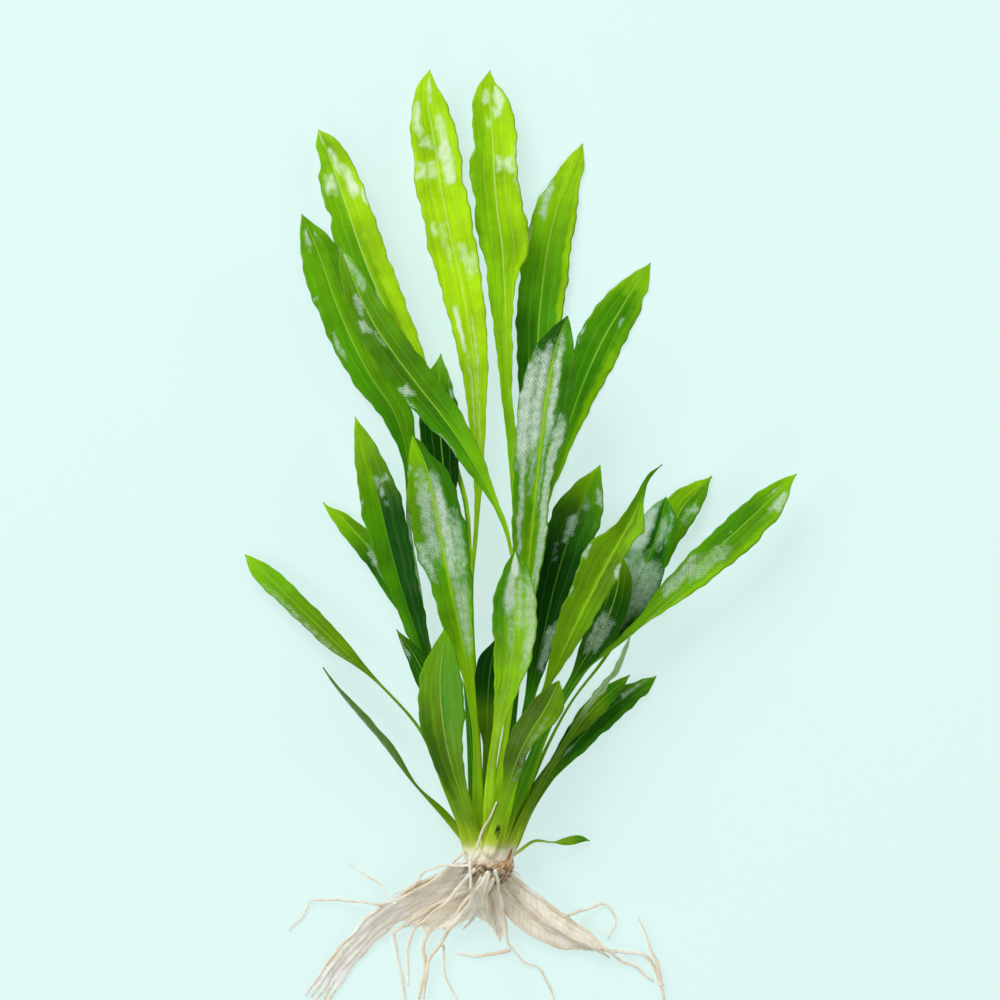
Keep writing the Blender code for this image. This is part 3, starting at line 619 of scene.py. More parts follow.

# ---- Leaves ----
# Strap-shaped to lance-shaped blades on thin channelled stalks: a pale midrib, parallel side
# veins that run to the tip, fine slanted cross veins between them, and a waxy skin with a painted wet sheen.

LEAF_STEP = 1.1 * MM
LEAF_HALF_COLUMNS = 12
LEAF_SUNK = 4.8 * MM  # how far a stalk goes into the crown
STALK_PALE = 2.5 * MM  # how far into the crown the stalk's pale colours begin
VEINS = (0.0, 0.42, 0.74, 1.0)
SKIN = 0.17 * MM  # half the thickness of a blade
STALK_HALF = 0.62 * MM  # half the thickness of a stalk
RIB_HEIGHT, RIB_WIDTH = 0.16 * MM, 0.9 * MM
GROOVE_DEPTH, GROOVE_WIDTH, GROOVE_PLACE = 0.14 * MM, 0.8 * MM, 1.5 * MM
KEEL_HEIGHT, KEEL_WIDTH = 0.42 * MM, 0.8 * MM
CHANNEL_DEPTH, CHANNEL_WIDTH = 0.18 * MM, 0.35  # its width is a share of the stalk's half width
TIP_LENGTH = 2.6 * MM  # over which a blade narrows to its point, by this share
TIP_NARROWING = 0.4
EDGE_INSET = 0.1 * MM  # a blade's edge from the CAD leaf's edge
NARROWEST = 0.05 * MM  # half width
FOOT_LENGTH = 40 * MM  # of the sheath with which a stalk clasps the crown
NECK_LENGTH = 8 * MM  # of the passage from stalk to blade
EDGE_WAVES = (7, 12, 23)  # mm; the uneven edge's wave lengths
SWELL_WAVES = (11, 19)  # mm; those of the swelling between the veins
QUILT_FULL = 5 * MM  # half width from which a blade swells fully between its veins
RIB_FULL = 7 * MM  # half width from which a midrib has its full height
FLAT_TIP = 10 * MM  # a blade gets flat over this length before its tip
CROSS_PITCH = 1.35  # mm between cross veins
# where a leaf's halves differ in colour, the darker one is partly painted shade of a half folded away from
# the light
HALVES_BLEND = 1.2 * MM  # width over which the left half's colour turns into the right half's
# the soft borders of coloured zones and of zones of painted sheen: least and most width across a leaf
# (in half widths) and along it (in mm), how ragged they are in both ways, and the length in mm and slant
# of the waves in them
ZONE_SIDE_FADE = (0.10, 0.30)
ZONE_END_FADE = (2.5, 14)
ZONE_RAGGED = (0.035, 1.5)
ZONE_WAVES = ((6, 0.7), (10, -1.1), (17, 0.4))
LEAF_CORNERS = 3  # across the top of a CAD leaf
LEAF_TOP = (0.3 * MM, 0.6 * MM, 0.3 * MM)  # height of those corners above the leaf's middle
COLOUR_PLACES = (0.0, 0.28, 0.62, 1.0)  # where along a blade its four greens sit
# from the crown upwards: a stalk's pale colours, how far they reach in mm, and how strong they are
STALK_COLOURS = (("yellow", 15, 0.7), ("straw", 8, 0.85), ("cream", 1.6, 1.0))
GREENS = {
    "cream": "#E8E2C4", "white": "#F0F8E4", "pale": "#9DB882", "lime": "#A2D40A", "yellow": "#93C800",
    "bright": "#82BE00", "fresh": "#66A600", "green": "#4C9400", "leaf": "#388200", "mid": "#2E6800",
    "olive": "#629300", "moss": "#4A7000", "deep": "#1C5A00", "dark": "#0E4A00", "shade": "#043C00",
    "straw": "#BCC834", "spot": "#141C04",
}


def leaf_columns(node):
    """Left edge, middle and right edge of each row of a CAD leaf, at the middle of its thickness."""
    rows = strip_rows(node, LEAF_CORNERS)
    centres = np.array([row.mean(axis=0) for row in rows])
    heading = np.gradient(centres[:, :2], lengths_along(centres[:, :2]), axis=0)
    columns = []
    for row, centre, (east, north) in zip(rows, centres, heading):
        across = (row[:, :2] - centre[:2]) @ np.array([north, -east])
        columns.append(row[np.argsort(across)])
    columns = np.array(columns)
    columns[:, :, 2] -= np.array(LEAF_TOP)
    return columns


def bell(distance, width):
    """1 at no distance, near 0 from twice the width on."""
    return np.exp(-(distance / width) ** 2)


def leaf_rows(node, foot):
    """The measures of a leaf's fine rows, from its stalk's end inside the crown to its tip."""
    columns = leaf_columns(node)
    middle = columns[:, 1]
    along = lengths_along(middle[:, :2])
    half = np.linalg.norm(columns[:, 2, :2] - columns[:, 0, :2], axis=1) / 2
    growing = np.diff(half) > 0
    neck = along[np.argmax(growing) + 1] if growing.any() else along[len(along) // 2]
    total = along[-1]
    rows = SimpleNamespace()
    outside = np.linspace(0, total, int(total / LEAF_STEP) + 2)
    rows.at = np.concatenate([[-LEAF_SUNK, -LEAF_SUNK / 2], outside])
    rows.inside = np.clip(rows.at, 0, None)
    rows.from_tip = total - rows.inside
    rows.share = np.clip((rows.inside - neck) / (total - neck), 0, 1)
    centre = smooth(along, middle[:, :2], rows.inside)
    tangent = np.gradient(centre[2:], outside, axis=0)
    tangent = np.vstack([tangent[:1], tangent[:1], tangent])
    tangent /= np.linalg.norm(tangent, axis=1)[:, None]
    rows.centre = centre + np.minimum(rows.at, 0)[:, None] * tangent
    rows.sideways = np.column_stack([tangent[:, 1], -tangent[:, 0]])
    rows.height = smooth(along, middle[:, 2], rows.inside, steady=True)
    rows.lean = smooth(along, columns[:, (0, 2), 2] - middle[:, 2:3], rows.inside, steady=True)
    pointed = 1 - TIP_NARROWING * np.exp(-rows.from_tip / TIP_LENGTH)
    width = smooth(along, half, rows.inside, steady=True) * pointed - EDGE_INSET
    clasp = bell(rows.inside, FOOT_LENGTH) * np.clip((rows.at + LEAF_SUNK) / (3 * MM), 0.3, 1)
    rows.width = np.maximum(width, NARROWEST) + foot * MM * clasp
    blade = np.clip((rows.inside - neck + NECK_LENGTH) / (0.18 * (total - neck) + NECK_LENGTH), 0, 1)
    rows.blade = blade * blade * (3 - 2 * blade)
    return rows


def leaf_section(near):
    """How far the tissue swells between the veins across one half."""
    bulge = np.zeros_like(near)
    for inner, outer in zip(VEINS, VEINS[1:]):
        inside = (near >= inner) & (near <= outer)
        bulge[inside] = np.sin(math.pi * (near[inside] - inner) / (outer - inner)) ** 2
    return bulge


def side_width(rows, random, trims, edge_noise):
    """The half width of one side of a leaf, with its edge trimmed and a little uneven."""
    edge = rows.width * (1 + edge_noise * rows.blade * waves(random, rows.inside, EDGE_WAVES))
    if trims:
        trims = trims if trims[0][0] == 0 else ((0, 0), *trims)
        places, insets = zip(*trims)
        edge = edge - MM * smooth(places, insets, np.clip(rows.from_tip / MM, 0, places[-1]), steady=True)
    return np.maximum(edge, NARROWEST)


def soft_zone(zone, u, from_tip, wobble):
    """1 inside a stretch of a leaf, 0 outside, with a ragged soft border between them.

    zone: from and to across the leaf (-1 left edge, 1 right edge), from and to in mm from the tip.
    """
    left, right, near, far = zone
    side_fade = np.clip(0.5 * (right - left), *ZONE_SIDE_FADE)
    end_fade = np.clip(0.35 * (far - near), *ZONE_END_FADE)
    u = u + ZONE_RAGGED[0] * wobble
    tip_mm = from_tip / MM + ZONE_RAGGED[1] * wobble
    across = np.minimum(u - left, right - u) / side_fade + 0.5
    along = np.minimum(tip_mm - near, far - tip_mm) / end_fade + 0.5
    return np.clip(across, 0, 1) * np.clip(along, 0, 1)


def tinted(colour, green, strength):
    """Linear colours with one of the greens laid over them."""
    return colour * (1 - strength) + np.array(linear(GREENS[green])[:3]) * strength


def leaf_colour_and_sheen(rows, u, across, random, colours, painted_sheen, tints):
    """Each point's colour, and the strength of the painted sheen on it."""
    # each half has its own greens; a darker half is partly painted shade of a half folded away from the light
    halves = []
    for side in (0, -1):
        greens = np.array([linear(GREENS[colour.split("/")[side]])[:3] for colour in colours.split()])
        half = smooth(COLOUR_PLACES, greens, rows.share, steady=True)
        for pale, reach, strength in STALK_COLOURS:
            beyond = np.clip(rows.at + STALK_PALE, 0, None) / (reach * MM)
            half = tinted(half, pale, strength * np.exp(-beyond ** 1.5)[:, None])
        halves.append(half[:, None, :])
    right_share = np.clip(across / HALVES_BLEND + 0.5, 0, 1)[:, :, None]
    colour = halves[0] * (1 - right_share) + halves[1] * right_share
    u = np.broadcast_to(u, across.shape)
    wobble = np.zeros_like(across)
    for length, twist in ZONE_WAVES:
        turn = rows.inside[:, None] / MM / length + twist * u
        wobble += np.sin(2 * math.pi * turn + random.uniform(0, 2 * math.pi)) / 1.7
    for *zone, green, strength in tints:
        there = strength * soft_zone(zone, u, rows.from_tip[:, None], wobble)
        colour = tinted(colour, green, there[:, :, None])
    # painted sheen: how strongly each point's colour is painted with the pale highlight of a wet film
    sheen_strength = np.zeros_like(across)
    for *zone, strength in painted_sheen:
        sheen_strength = np.maximum(sheen_strength, strength * soft_zone(zone, u, rows.from_tip[:, None], wobble))
    return np.dstack([colour, sheen_strength])


def make_leaf(name, seed, skin, colours, left=(), right=(), painted_sheen=(), tints=(), ruffle=0.7, wave=19,
              quilt=0.3, edge_noise=0.035, foot=1.2):
    """The fine leaf round a CAD leaf.

    colours: of the stalk and of the blade's base, middle and tip; left/right where the halves differ,
    the darker half partly its own green and partly painted shade of a half folded away from the light.
    left, right: pairs of mm from the tip and mm that the edge stands in from the CAD leaf's edge,
    which start at 0, 0 unless another inset is given at 0.
    painted_sheen: zones where a pale highlight, as of a film of water, is painted into the colour, with
    its strength. tints: zones with a green and its strength, some of them painted shade.
    ruffle, wave: height of the waves at the edge and their length in mm. quilt: mm by which the
    tissue swells between the veins. edge_noise: unevenness as a share of the width.
    foot: mm by which the stalk widens to a clasping sheath at the crown.
    """
    random = np.random.default_rng(seed)
    rows = leaf_rows(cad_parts[name], foot)
    blade = rows.blade[:, None]
    u = np.linspace(0, 1, LEAF_HALF_COLUMNS + 1) ** 1.1
    u = np.concatenate([-u[:0:-1], u])
    near = np.abs(u)
    widths = [side_width(rows, random, trims, edge_noise)[:, None] for trims in (left, right)]
    reach = np.where(u > 0, widths[1], widths[0])
    across = reach * u
    slope = np.where(u > 0, rows.lean[:, 1:2], -rows.lean[:, 0:1]) / np.maximum(rows.width, 0.3 * MM)[:, None]
    tilt = 1 / np.sqrt(1 + slope ** 2)

    lift = np.zeros_like(across)
    for side in (u <= 0, u > 0):
        ripple = 0.5 + 0.5 * np.clip(waves(random, rows.inside, (wave, 0.62 * wave, 1.7 * wave)), -1, 1)
        swell = 0.6 + 0.4 * waves(random, rows.inside, SWELL_WAVES)
        fade = np.clip(reach[:, side] / QUILT_FULL, 0, 1)
        lift[:, side] = blade * (ruffle * MM * ripple[:, None] * near[side] ** 2.2
                                 + quilt * MM * swell[:, None] * fade * leaf_section(near[side]))
    lift *= np.clip(rows.from_tip / FLAT_TIP, 0.15, 1)[:, None]
    rib_size = np.clip(rows.width / RIB_FULL, 0.15, 1)[:, None] * blade
    groove = bell(np.abs(across) - GROOVE_PLACE, GROOVE_WIDTH)
    relief = (RIB_HEIGHT * bell(across, RIB_WIDTH) - GROOVE_DEPTH * groove) * rib_size
    stalk = STALK_HALF * np.sqrt(np.clip(1 - near ** 2, 0, 1))
    thin = SKIN * np.sqrt(np.clip(1 - near ** 4, 0, 1))
    keel = KEEL_HEIGHT * bell(across, KEEL_WIDTH) * (0.35 + 0.65 * rib_size)
    over = (1 - blade) * (stalk - CHANNEL_DEPTH * bell(near, CHANNEL_WIDTH)) + blade * thin + lift + relief
    under = (1 - blade) * stalk + blade * (thin + keel) - lift

    def shell(offset):
        aside = across - offset * slope * tilt
        flat = rows.centre[:, None, :] + rows.sideways[:, None, :] * aside[:, :, None]
        return np.dstack([flat, rows.height[:, None] + slope * across + offset * tilt])

    loop = closed_loop(shell(over), shell(-under))
    loop[:, :, 2] = np.maximum(loop[:, :, 2], TABLE_GAP)
    leaf = new_piece(name + "_blade", loop.reshape(-1, 3), loft_faces(*loop.shape[:2]), skin)
    place = np.dstack(np.broadcast_arrays(across / MM, rows.inside[:, None] / MM, u))
    set_attribute(leaf.data, "place", "FLOAT_VECTOR", closed_loop(place))
    # the tissue attribute holds each point's colour and, in its alpha, the strength of the painted sheen
    tissue = leaf_colour_and_sheen(rows, u, across, random, colours, painted_sheen, tints)
    set_attribute(leaf.data, "tissue", "FLOAT_COLOR", closed_loop(tissue))
    return leaf


def leaf_skin(name, vein_tint, vein_strength, sheen_tint, stripes):
    """Leaf tissue: colour from the leaf itself, veins and cross veins from its own measures, and a
    pale sheen painted over the colour.
    """
    material, tree, spot = new_material(name)

    def calculated(operation, *values):
        return calculate(tree, operation, *values)

    tissue = add(tree, "ShaderNodeAttribute", attribute_name="tissue").outputs
    place = add(tree, "ShaderNodeAttribute", attribute_name="place").outputs["Vector"]
    across, along, share = add(tree, "ShaderNodeSeparateXYZ", {0: place}).outputs
    veins = ramp(tree, calculated("ABSOLUTE", share), (
        (0.0, 1.0), (0.018, 1.0), (0.05, 0.0), (0.395, 0.0), (0.42, 0.45), (0.445, 0.0), (0.72, 0.0),
        (0.74, 0.16), (0.76, 0.0), (0.96, 0.0), (1.0, 0.35)))
    # cross veins: slanting forwards from the midrib, bent and broken by noise
    slant = calculated("MULTIPLY_ADD", calculated("ABSOLUTE", across), -0.9, along)
    bent = calculated("MULTIPLY_ADD", noise_at(tree, spot, 1 / (7 * MM), 1.5), 3.0, slant)
    cross = calculated("SINE", calculated("MULTIPLY", bent, 2 * math.pi / CROSS_PITCH))
    cross = calculated("MULTIPLY_ADD", noise_at(tree, spot, 1 / (1.7 * MM), 2.0), 5.0, cross)
    cross = mapped(tree, cross, 2.5, 3.9)
    # blotches, and light and dark streaks a millimetre wide and some centimetres long
    blotch = noise_at(tree, spot, 1 / (16 * MM), 4.0, Roughness=0.55)
    streaks = noise_at(tree, drawn_out(tree, across, along, 0.05), 0.7, 3.0)
    colour = product(tree, tissue["Color"], ramp(tree, blotch, ((0.32, 0.84), (0.5, 1.06), (0.7, 1.22))),
                     ramp(tree, streaks, ((0.35, 0.90), (0.65, 1.10))),
                     ramp(tree, cross, ((0.0, 1.0), (1.0, 0.95))))
    colour = mixed(tree, calculated("MULTIPLY", veins, vein_strength), colour, vein_tint)
    # painted sheen: the pale grey-white highlight of a wet, waxy film, painted into the colour, with
    # ragged borders, broken by the veins and the cross veins
    patches = noise_at(tree, spot, 1 / (2.4 * MM), 4.0, Roughness=0.6)
    sheen_streaks = noise_at(tree, drawn_out(tree, across, along, 0.16), 1.9, 4.0, Roughness=0.6)
    painted_sheen = tissue["Alpha"]
    for part, weight in ((patches, 0.9), (sheen_streaks, 0.9), (cross, -stripes), (veins, -0.4)):
        painted_sheen = calculated("MULTIPLY_ADD", part, weight, painted_sheen)
    cut = calculated("MULTIPLY_ADD", cross, -1.4 * stripes, 1.0)
    sheen_strength = calculated("MULTIPLY", mapped(tree, painted_sheen, 1.10, 2.05, most=0.92), cut)
    relief = calculated("MULTIPLY_ADD", veins, 0.8, cross)
    relief = calculated("MULTIPLY_ADD", noise_at(tree, spot, 1 / (1.1 * MM), 3.0), 0.8, relief)
    # the base colour is mixed towards the pale tint of the painted sheen
    set_surface(tree, {
        "Base Color": mixed(tree, sheen_strength, colour, sheen_tint),
        "Roughness": ramp(tree, patches, ((0.35, 0.48), (0.62, 0.34))), "Specular IOR Level": 0.1,
        "Coat Weight": 0.1, "Coat Roughness": 0.2, "Subsurface Weight": 0.1,
        "Subsurface Radius": (0.6, 1.0, 0.05), "Subsurface Scale": 0.7 * MM,
        "Normal": bump(tree, relief, 0.45, 0.1 * MM)})
    return material


# each skin: the veins' tint and strength, the pale tint of the painted sheen, and how much the cross veins
# break that sheen
SKINS = {
    "leaf_grown": leaf_skin("grown_leaf_skin", "#A2CC45", 0.7, "#CFE1CF", 0.2),
    "leaf_old": leaf_skin("old_leaf_skin", "#7FAE38", 0.45, "#BCD4C2", 0.18),
    "leaf_young": leaf_skin("young_leaf_skin", "#CFEE80", 0.5, "#E4F5D2", 0.03),
}

# in each look, the zones that carry only a strength are painted sheen: a pale highlight painted into the
# colour
LEAF_LOOKS = {
    # far left, behind: its stalk is pale, with a painted wet sheen on it
    "leaf_01": dict(
        colours="bright leaf/green green/fresh fresh",
        left=((10, 0.1), (16, -0.4), (30, 0), (40, 0.8), (60, 0.8), (70, 1.1), (80, 1.5), (95, 1.5),
              (115, 0)),
        right=((5, 0.5), (8, 0.1), (13, -0.8), (22, 0)),
        painted_sheen=((-0.6, -0.2, 7, 13, 0.85), (0.25, 0.45, 7, 13, 0.8), (-0.95, -0.7, 33, 37, 0.7),
             (-0.85, -0.6, 48, 60, 0.75), (-1, 1, 126, 168, 0.75)),
        tints=((0.35, 1, 18, 60, "mid", 0.6),)),
    # its deep tint on the left half far from the tip is partly its own darker green and partly painted shadow
    # of leaf_10 over it
    "leaf_02": dict(
        colours="leaf mid/leaf green lime/yellow",
        left=((5, 0.4), (10, 0.5), (15, 1.0), (21, 0.8), (26, 0.3), (40, 0.1)),
        right=((10, 0.3), (15, 1.3), (20, 0.9), (25, 0.1), (44, 0.1), (50, -0.3), (60, -0.2), (70, 0)),
        painted_sheen=((-0.95, -0.5, 21, 27, 0.9), (-0.8, -0.4, 27, 33, 0.95), (-0.95, -0.7, 17, 21, 0.7),
             (-1, -0.8, 38, 43, 0.8)),
        tints=((0.72, 1, 22, 75, "yellow", 0.9), (-0.5, 0.3, 12, 26, "bright", 0.6),
               (-1, -0.1, 70, 140, "deep", 0.6))),
    "leaf_03": dict(
        colours="leaf/bright green/fresh leaf bright",
        left=((5, 1.0), (10, 1.0), (15, 0.6), (21, 0), (30, -0.4), (35, -1.2), (41, -0.8), (50, 0)),
        right=((5, 0.6), (10, 0.4), (13, 1.1), (20, 0.8), (25, 1.0), (30, 0.7), (40, 0.1), (85, 0),
               (95, 0.8), (100, 1.6), (112, 1.7), (125, 0.8)),
        painted_sheen=((0.3, 0.45, 25, 29, 0.75), (0.42, 0.55, 20, 22, 0.7), (-1, -0.82, 36, 40, 0.9)),
        tints=((0.55, 1, 36, 130, "bright", 0.9), (-0.7, 0.6, 14, 34, "leaf", 0.8))),
    # right, low: dark and a little glossy, with a painted grey-green sheen near the tip
    "leaf_04": dict(
        colours="moss dark/deep dark/deep fresh/green",
        left=((4, 1.4), (10, 2.8), (16, 2.0), (25, 0)),
        right=((7, 0.3), (10, 1.4), (20, 1.8), (30, 1.8), (40, 1.2), (50, 0.2), (55, -0.8), (60, -1.0)),
        painted_sheen=((-0.6, -0.1, 4, 12, 0.75), (-0.35, 0.1, 9, 17, 0.85), (-0.1, 0.1, 44, 50, 0.6)),
        tints=((0.6, 1, 12, 60, "leaf", 0.7),)),
    "leaf_05": dict(
        colours="olive leaf/bright fresh/green yellow/fresh",
        left=((4, 0.7), (10, 0.5), (15, 0.2)),
        right=((3, 0.6), (10, 0), (20, 0.5), (25, 1.4), (30, 3.1), (40, 4.0), (46, 5.2), (56, 3.0)),
        painted_sheen=((0.45, 0.95, 12, 17, 0.95), (0.2, 0.75, 15, 22, 0.6)),
        tints=((-0.2, 0.4, 11, 20, "leaf", 0.6), (0.3, 0.9, 24, 45, "bright", 0.6))),
    "leaf_06": dict(
        colours="moss moss moss moss", ruffle=0.3, quilt=0.15, foot=0.2,
        left=((10, 0.6), (20, 1.2), (40, 1.5), (50, 0.9), (60, 0)),
        right=((10, 1.0), (20, 0.8), (30, 0.6), (38, 0)), painted_sheen=((-1, -0.2, 3, 55, 0.42),)),
    "leaf_07": dict(
        colours="olive olive fresh bright", ruffle=0.4, foot=0.2,
        left=((5, -0.4), (20, 0.6), (30, 0.8), (40, 1.1), (46, 0.4), (52, 0.8), (60, 1.2), (72, 0.6)),
        right=((5, 1.0), (20, 0.9), (60, 0.8), (72, 0.3)), painted_sheen=((-1, -0.45, 14, 60, 0.45),)),
    "leaf_08": dict(
        colours="leaf deep fresh yellow", ruffle=0.5,
        left=((15, 0.2), (30, 0.7), (45, 0.2)), right=((5, 1.5), (10, 1.2), (17, 1.2), (24, 0.3)),
        painted_sheen=((-0.5, 0.3, 26, 42, 0.75),), tints=((0.2, 1, 12, 26, "moss", 0.6),)),
    # the tall young ones at the top
    "leaf_09": dict(
        colours="bright/yellow green/lime green/lime bright/yellow",
        left=((6, 0.3), (10, 1.7), (15, 2.0), (18, 0.9), (25, 0.9), (31, 1.1), (35, 1.7), (41, 0.6),
              (50, 0.5), (60, 0.2)),
        right=((4, -1.2), (10, -1.4), (15, -0.8), (22, -0.2), (30, 0)),
        painted_sheen=((0.08, 0.4, 8, 20, 0.75), (0.3, 0.75, 18, 30, 1.0), (-0.75, -0.15, 18, 27, 0.9),
             (0.8, 1, 26, 34, 0.9), (-0.3, 0, 2, 5, 0.7), (-0.9, -0.65, 57, 63, 0.8),
             (-0.6, -0.3, 64, 69, 0.9), (-0.2, 0, 69, 72, 0.7)),
        tints=((0.05, 0.35, 38, 130, "fresh", 0.6), (-0.1, 0.5, 2, 12, "fresh", 0.6))),
    "leaf_10": dict(
        colours="fresh bright bright/yellow yellow",
        left=((8, 0.2), (15, 0.8), (20, 1.7), (25, 1.9), (30, 2.2), (34, 1.2), (37, 0), (41, 0.1),
              (45, 0.6), (50, 1.2), (55, 0.9), (60, 0.3), (70, 0.6), (80, 1.6), (90, 1.0), (110, 1.0),
              (130, 0.5)),
        right=((0, 0.2), (3, 1.2), (5, 2.0), (8, 0.3), (11, -0.2), (20, -0.5), (26, 0), (40, 0.4), (50, 0),
               (56, -0.8), (62, -1.8), (70, -2.2), (76, -0.5), (82, 2.0), (90, 3.8), (100, 3.8),
               (112, 2.8), (130, 2.2), (150, 0)),
        painted_sheen=((-0.55, 0, 8, 12, 0.75), (0.2, 0.8, 8, 14, 1.0), (0.1, 0.5, 13, 19, 0.85),
             (-0.25, 0.05, 19, 24, 0.6), (0.1, 0.4, 34, 43, 0.75), (0.45, 0.85, 33, 42, 0.75),
             (0.88, 1, 29, 52, 0.55), (-1, -0.9, 40, 44, 0.7)),
        tints=((-1, -0.35, 14, 62, "fresh", 0.5), (0.45, 1, 4, 65, "lime", 0.6),
               (-0.3, 0.6, 62, 90, "fresh", 0.4))),
    "leaf_11": dict(
        colours="lime/yellow yellow/lime lime lime",
        left=((5, 0.6), (10, 1.3), (20, 0.9), (29, 0.4), (35, 1.0), (40, -0.2), (50, 0.2), (60, 0.5),
              (70, -0.2), (80, 0.2)),
        right=((0, 0.3), (5, 1.1), (10, 0.7), (20, 0.1), (35, 0.3), (40, -0.1), (47, 0.7), (52, 0.2),
               (60, -0.2), (70, 0.1)),
        painted_sheen=((-0.1, 0.35, 4, 9, 0.75), (0, 0.25, 9, 13, 0.65), (-0.88, -0.45, 14, 25, 0.85),
             (-0.7, -0.1, 26, 32, 0.65), (-0.95, -0.5, 37, 44, 0.9), (-0.5, -0.05, 37, 43, 0.6),
             (0.18, 0.6, 19, 30, 0.7), (0.1, 0.6, 29, 38, 1.0), (0.2, 0.68, 37, 46, 0.95),
             (-0.78, -0.5, 60, 67, 0.6), (-0.4, -0.1, 59, 80, 0.42), (0.2, 0.6, 72, 80, 0.6),
             (0.3, 0.95, 75, 85, 0.5), (-0.66, -0.4, 95, 113, 1.2), (-0.5, -0.2, 113, 150, 0.5),
             (0.15, 0.35, 100, 170, 0.5)),
        tints=((0.68, 1, 20, 90, "lime", 0.8), (-0.5, 0.1, 12, 35, "bright", 0.6))),
    # the ones behind and under them
    # its shade tint is painted shadow, where it lies under leaf_25
    "leaf_12": dict(
        colours="leaf shade deep fresh",
        left=((5, 0.9), (12, 0.5), (20, 0)), right=((5, 1.7), (10, 1.5), (15, 1.6), (20, 0.2)),
        painted_sheen=((0.65, 1, 12, 18, 0.8),), tints=((-1, 1, 18, 70, "shade", 0.8),)),
    "leaf_13": dict(
        colours="leaf shade dark/deep bright/fresh",
        left=((5, 1.0), (10, 1.0), (15, 0.9), (20, 0.3), (30, 0)),
        right=((5, 0.6), (10, 0.2), (20, -0.2), (28, 0.2)),
        painted_sheen=((-0.3, 0.1, 22, 31, 0.9), (-0.25, 0.05, 28, 35, 0.7), (-0.45, -0.2, 34, 43, 0.45),
             (-0.05, 0.4, 14, 20, 0.5), (0.55, 1, 9, 15, 0.75), (0.1, 0.9, 66, 86, 0.75)),
        tints=((-1, 0.9, 36, 90, "shade", 0.8), (-0.8, 0.7, 17, 36, "deep", 0.5))),
    "leaf_14": dict(
        colours="leaf mid leaf leaf",
        right=((0, 0.3), (5, 0.6), (10, 1.3), (15, 2.2), (20, 3.0), (25, 2.2), (30, 1.2), (36, 0.5)),
        painted_sheen=((-1, -0.32, 4, 26, 1.15), (0.05, 0.5, 8, 20, 0.75), (0.55, 0.8, 3, 18, 0.6),
             (-1, 1, 26, 48, 0.8), (-0.7, 0.7, 46, 58, 0.55)),
        tints=((-0.35, -0.02, 3, 26, "dark", 0.9), (0.2, 0.8, 18, 27, "dark", 0.9))),
    "leaf_15": dict(colours="moss olive leaf olive", ruffle=0.3),
    "leaf_16": dict(
        colours="bright/fresh leaf/deep green/dark yellow/bright",
        left=((15, 0.3), (25, 1.0), (30, 1.2), (40, 1.6), (45, 1.9), (50, 2.4), (60, 2.7), (70, 3.5),
              (80, 2.8), (90, 1.8), (100, 1.1), (115, 0)),
        right=((8, 0.4), (20, 0.3), (35, 0), (50, 0.8), (60, 1.2), (70, 0.8), (85, 0.2)),
        painted_sheen=((0, 0.3, 24, 30, 0.55), (0.12, 0.38, 30, 35, 0.95), (0.3, 0.8, 24, 29, 0.85),
             (-0.98, -0.8, 31, 37, 0.9)),
        tints=((0.1, 1, 36, 100, "dark", 0.75), (-1, -0.4, 50, 115, "fresh", 0.4))),
    "leaf_17": dict(colours="moss deep deep moss", ruffle=0.3, painted_sheen=((-1, -0.4, 4, 12, 0.7),)),
    "leaf_18": dict(colours="moss dark shade deep", left=((5, 2.0), (10, 0.8), (15, 0))),
    "leaf_19": dict(
        colours="fresh fresh green/fresh bright",
        left=((10, 1.0), (20, 1.4), (30, 2.0), (60, 2.0), (70, 1.3), (80, 1.5), (92, 0)),
        right=((5, 0.8), (10, 0), (15, -0.5), (19, -0.9), (22, -0.1), (30, -0.7), (40, -0.3), (50, 0),
               (60, 0.5), (70, 0.9), (80, 0.9), (92, 0)),
        painted_sheen=((0.3, 0.9, 7, 18, 0.85), (-0.4, -0.1, 10, 13, 0.6), (-0.2, 0.6, 38, 62, 0.55),
             (-0.8, 0.15, 50, 72, 0.75), (-0.35, -0.2, 33, 36, 0.7)),
        tints=((0.7, 1, 22, 90, "bright", 0.8), (-0.6, 0.5, 12, 46, "leaf", 0.5))),
    "leaf_20": dict(
        colours="moss pale pale pale", ruffle=1.0, wave=12, edge_noise=0.12,
        left=((8, 0.8), (20, 2.3), (45, 2.3), (60, 1.2)),
        right=((8, 1.0), (20, 2.0), (45, 2.2), (60, 1.2)),
        tints=((0.1, 0.5, 0, 60, "olive", 0.6), (-1, -0.5, 10, 60, "olive", 0.5))),
    "leaf_21": dict(colours="leaf deep deep olive", painted_sheen=((-0.6, 0.6, 24, 42, 0.62),)),
    # the large glossy ones in the middle, much of their gloss a painted sheen
    "leaf_22": dict(
        colours="yellow fresh leaf deep/green", quilt=0.45,
        left=((5, 0.8), (12, 0.8), (20, 0), (40, -0.5), (50, 0)),
        right=((42, 0), (50, 1.0), (55, 2.0), (60, 3.0), (70, 3.8), (80, 2.5), (90, 1.5), (110, 0.5)),
        painted_sheen=((-0.55, -0.1, 12, 58, 1.05), (-1, -0.48, 18, 62, 1.1), (-0.76, -0.5, 50, 108, 0.85),
             (-0.38, -0.14, 42, 72, 0.62), (0.1, 0.4, 8, 50, 1.0), (0.12, 0.3, 44, 80, 0.7),
             (0.42, 0.92, 42, 110, 0.95), (0.2, 0.5, 9, 13, 0.6)),
        tints=((-1, -0.1, 0, 16, "deep", 0.8), (0.35, 1, 16, 44, "mid", 0.8),
               (-0.12, 0.12, 20, 140, "yellow", 0.6))),
    "leaf_23": dict(
        colours="bright olive olive leaf",
        left=((5, -0.2), (10, 0.5), (15, 1.0), (20, 1.4), (26, 1.2), (30, 0.9), (34, 0.2), (37, -1.5),
              (40, -2.5), (45, -2.1), (50, -1.0), (55, 0), (60, 0.5), (75, 0.3)),
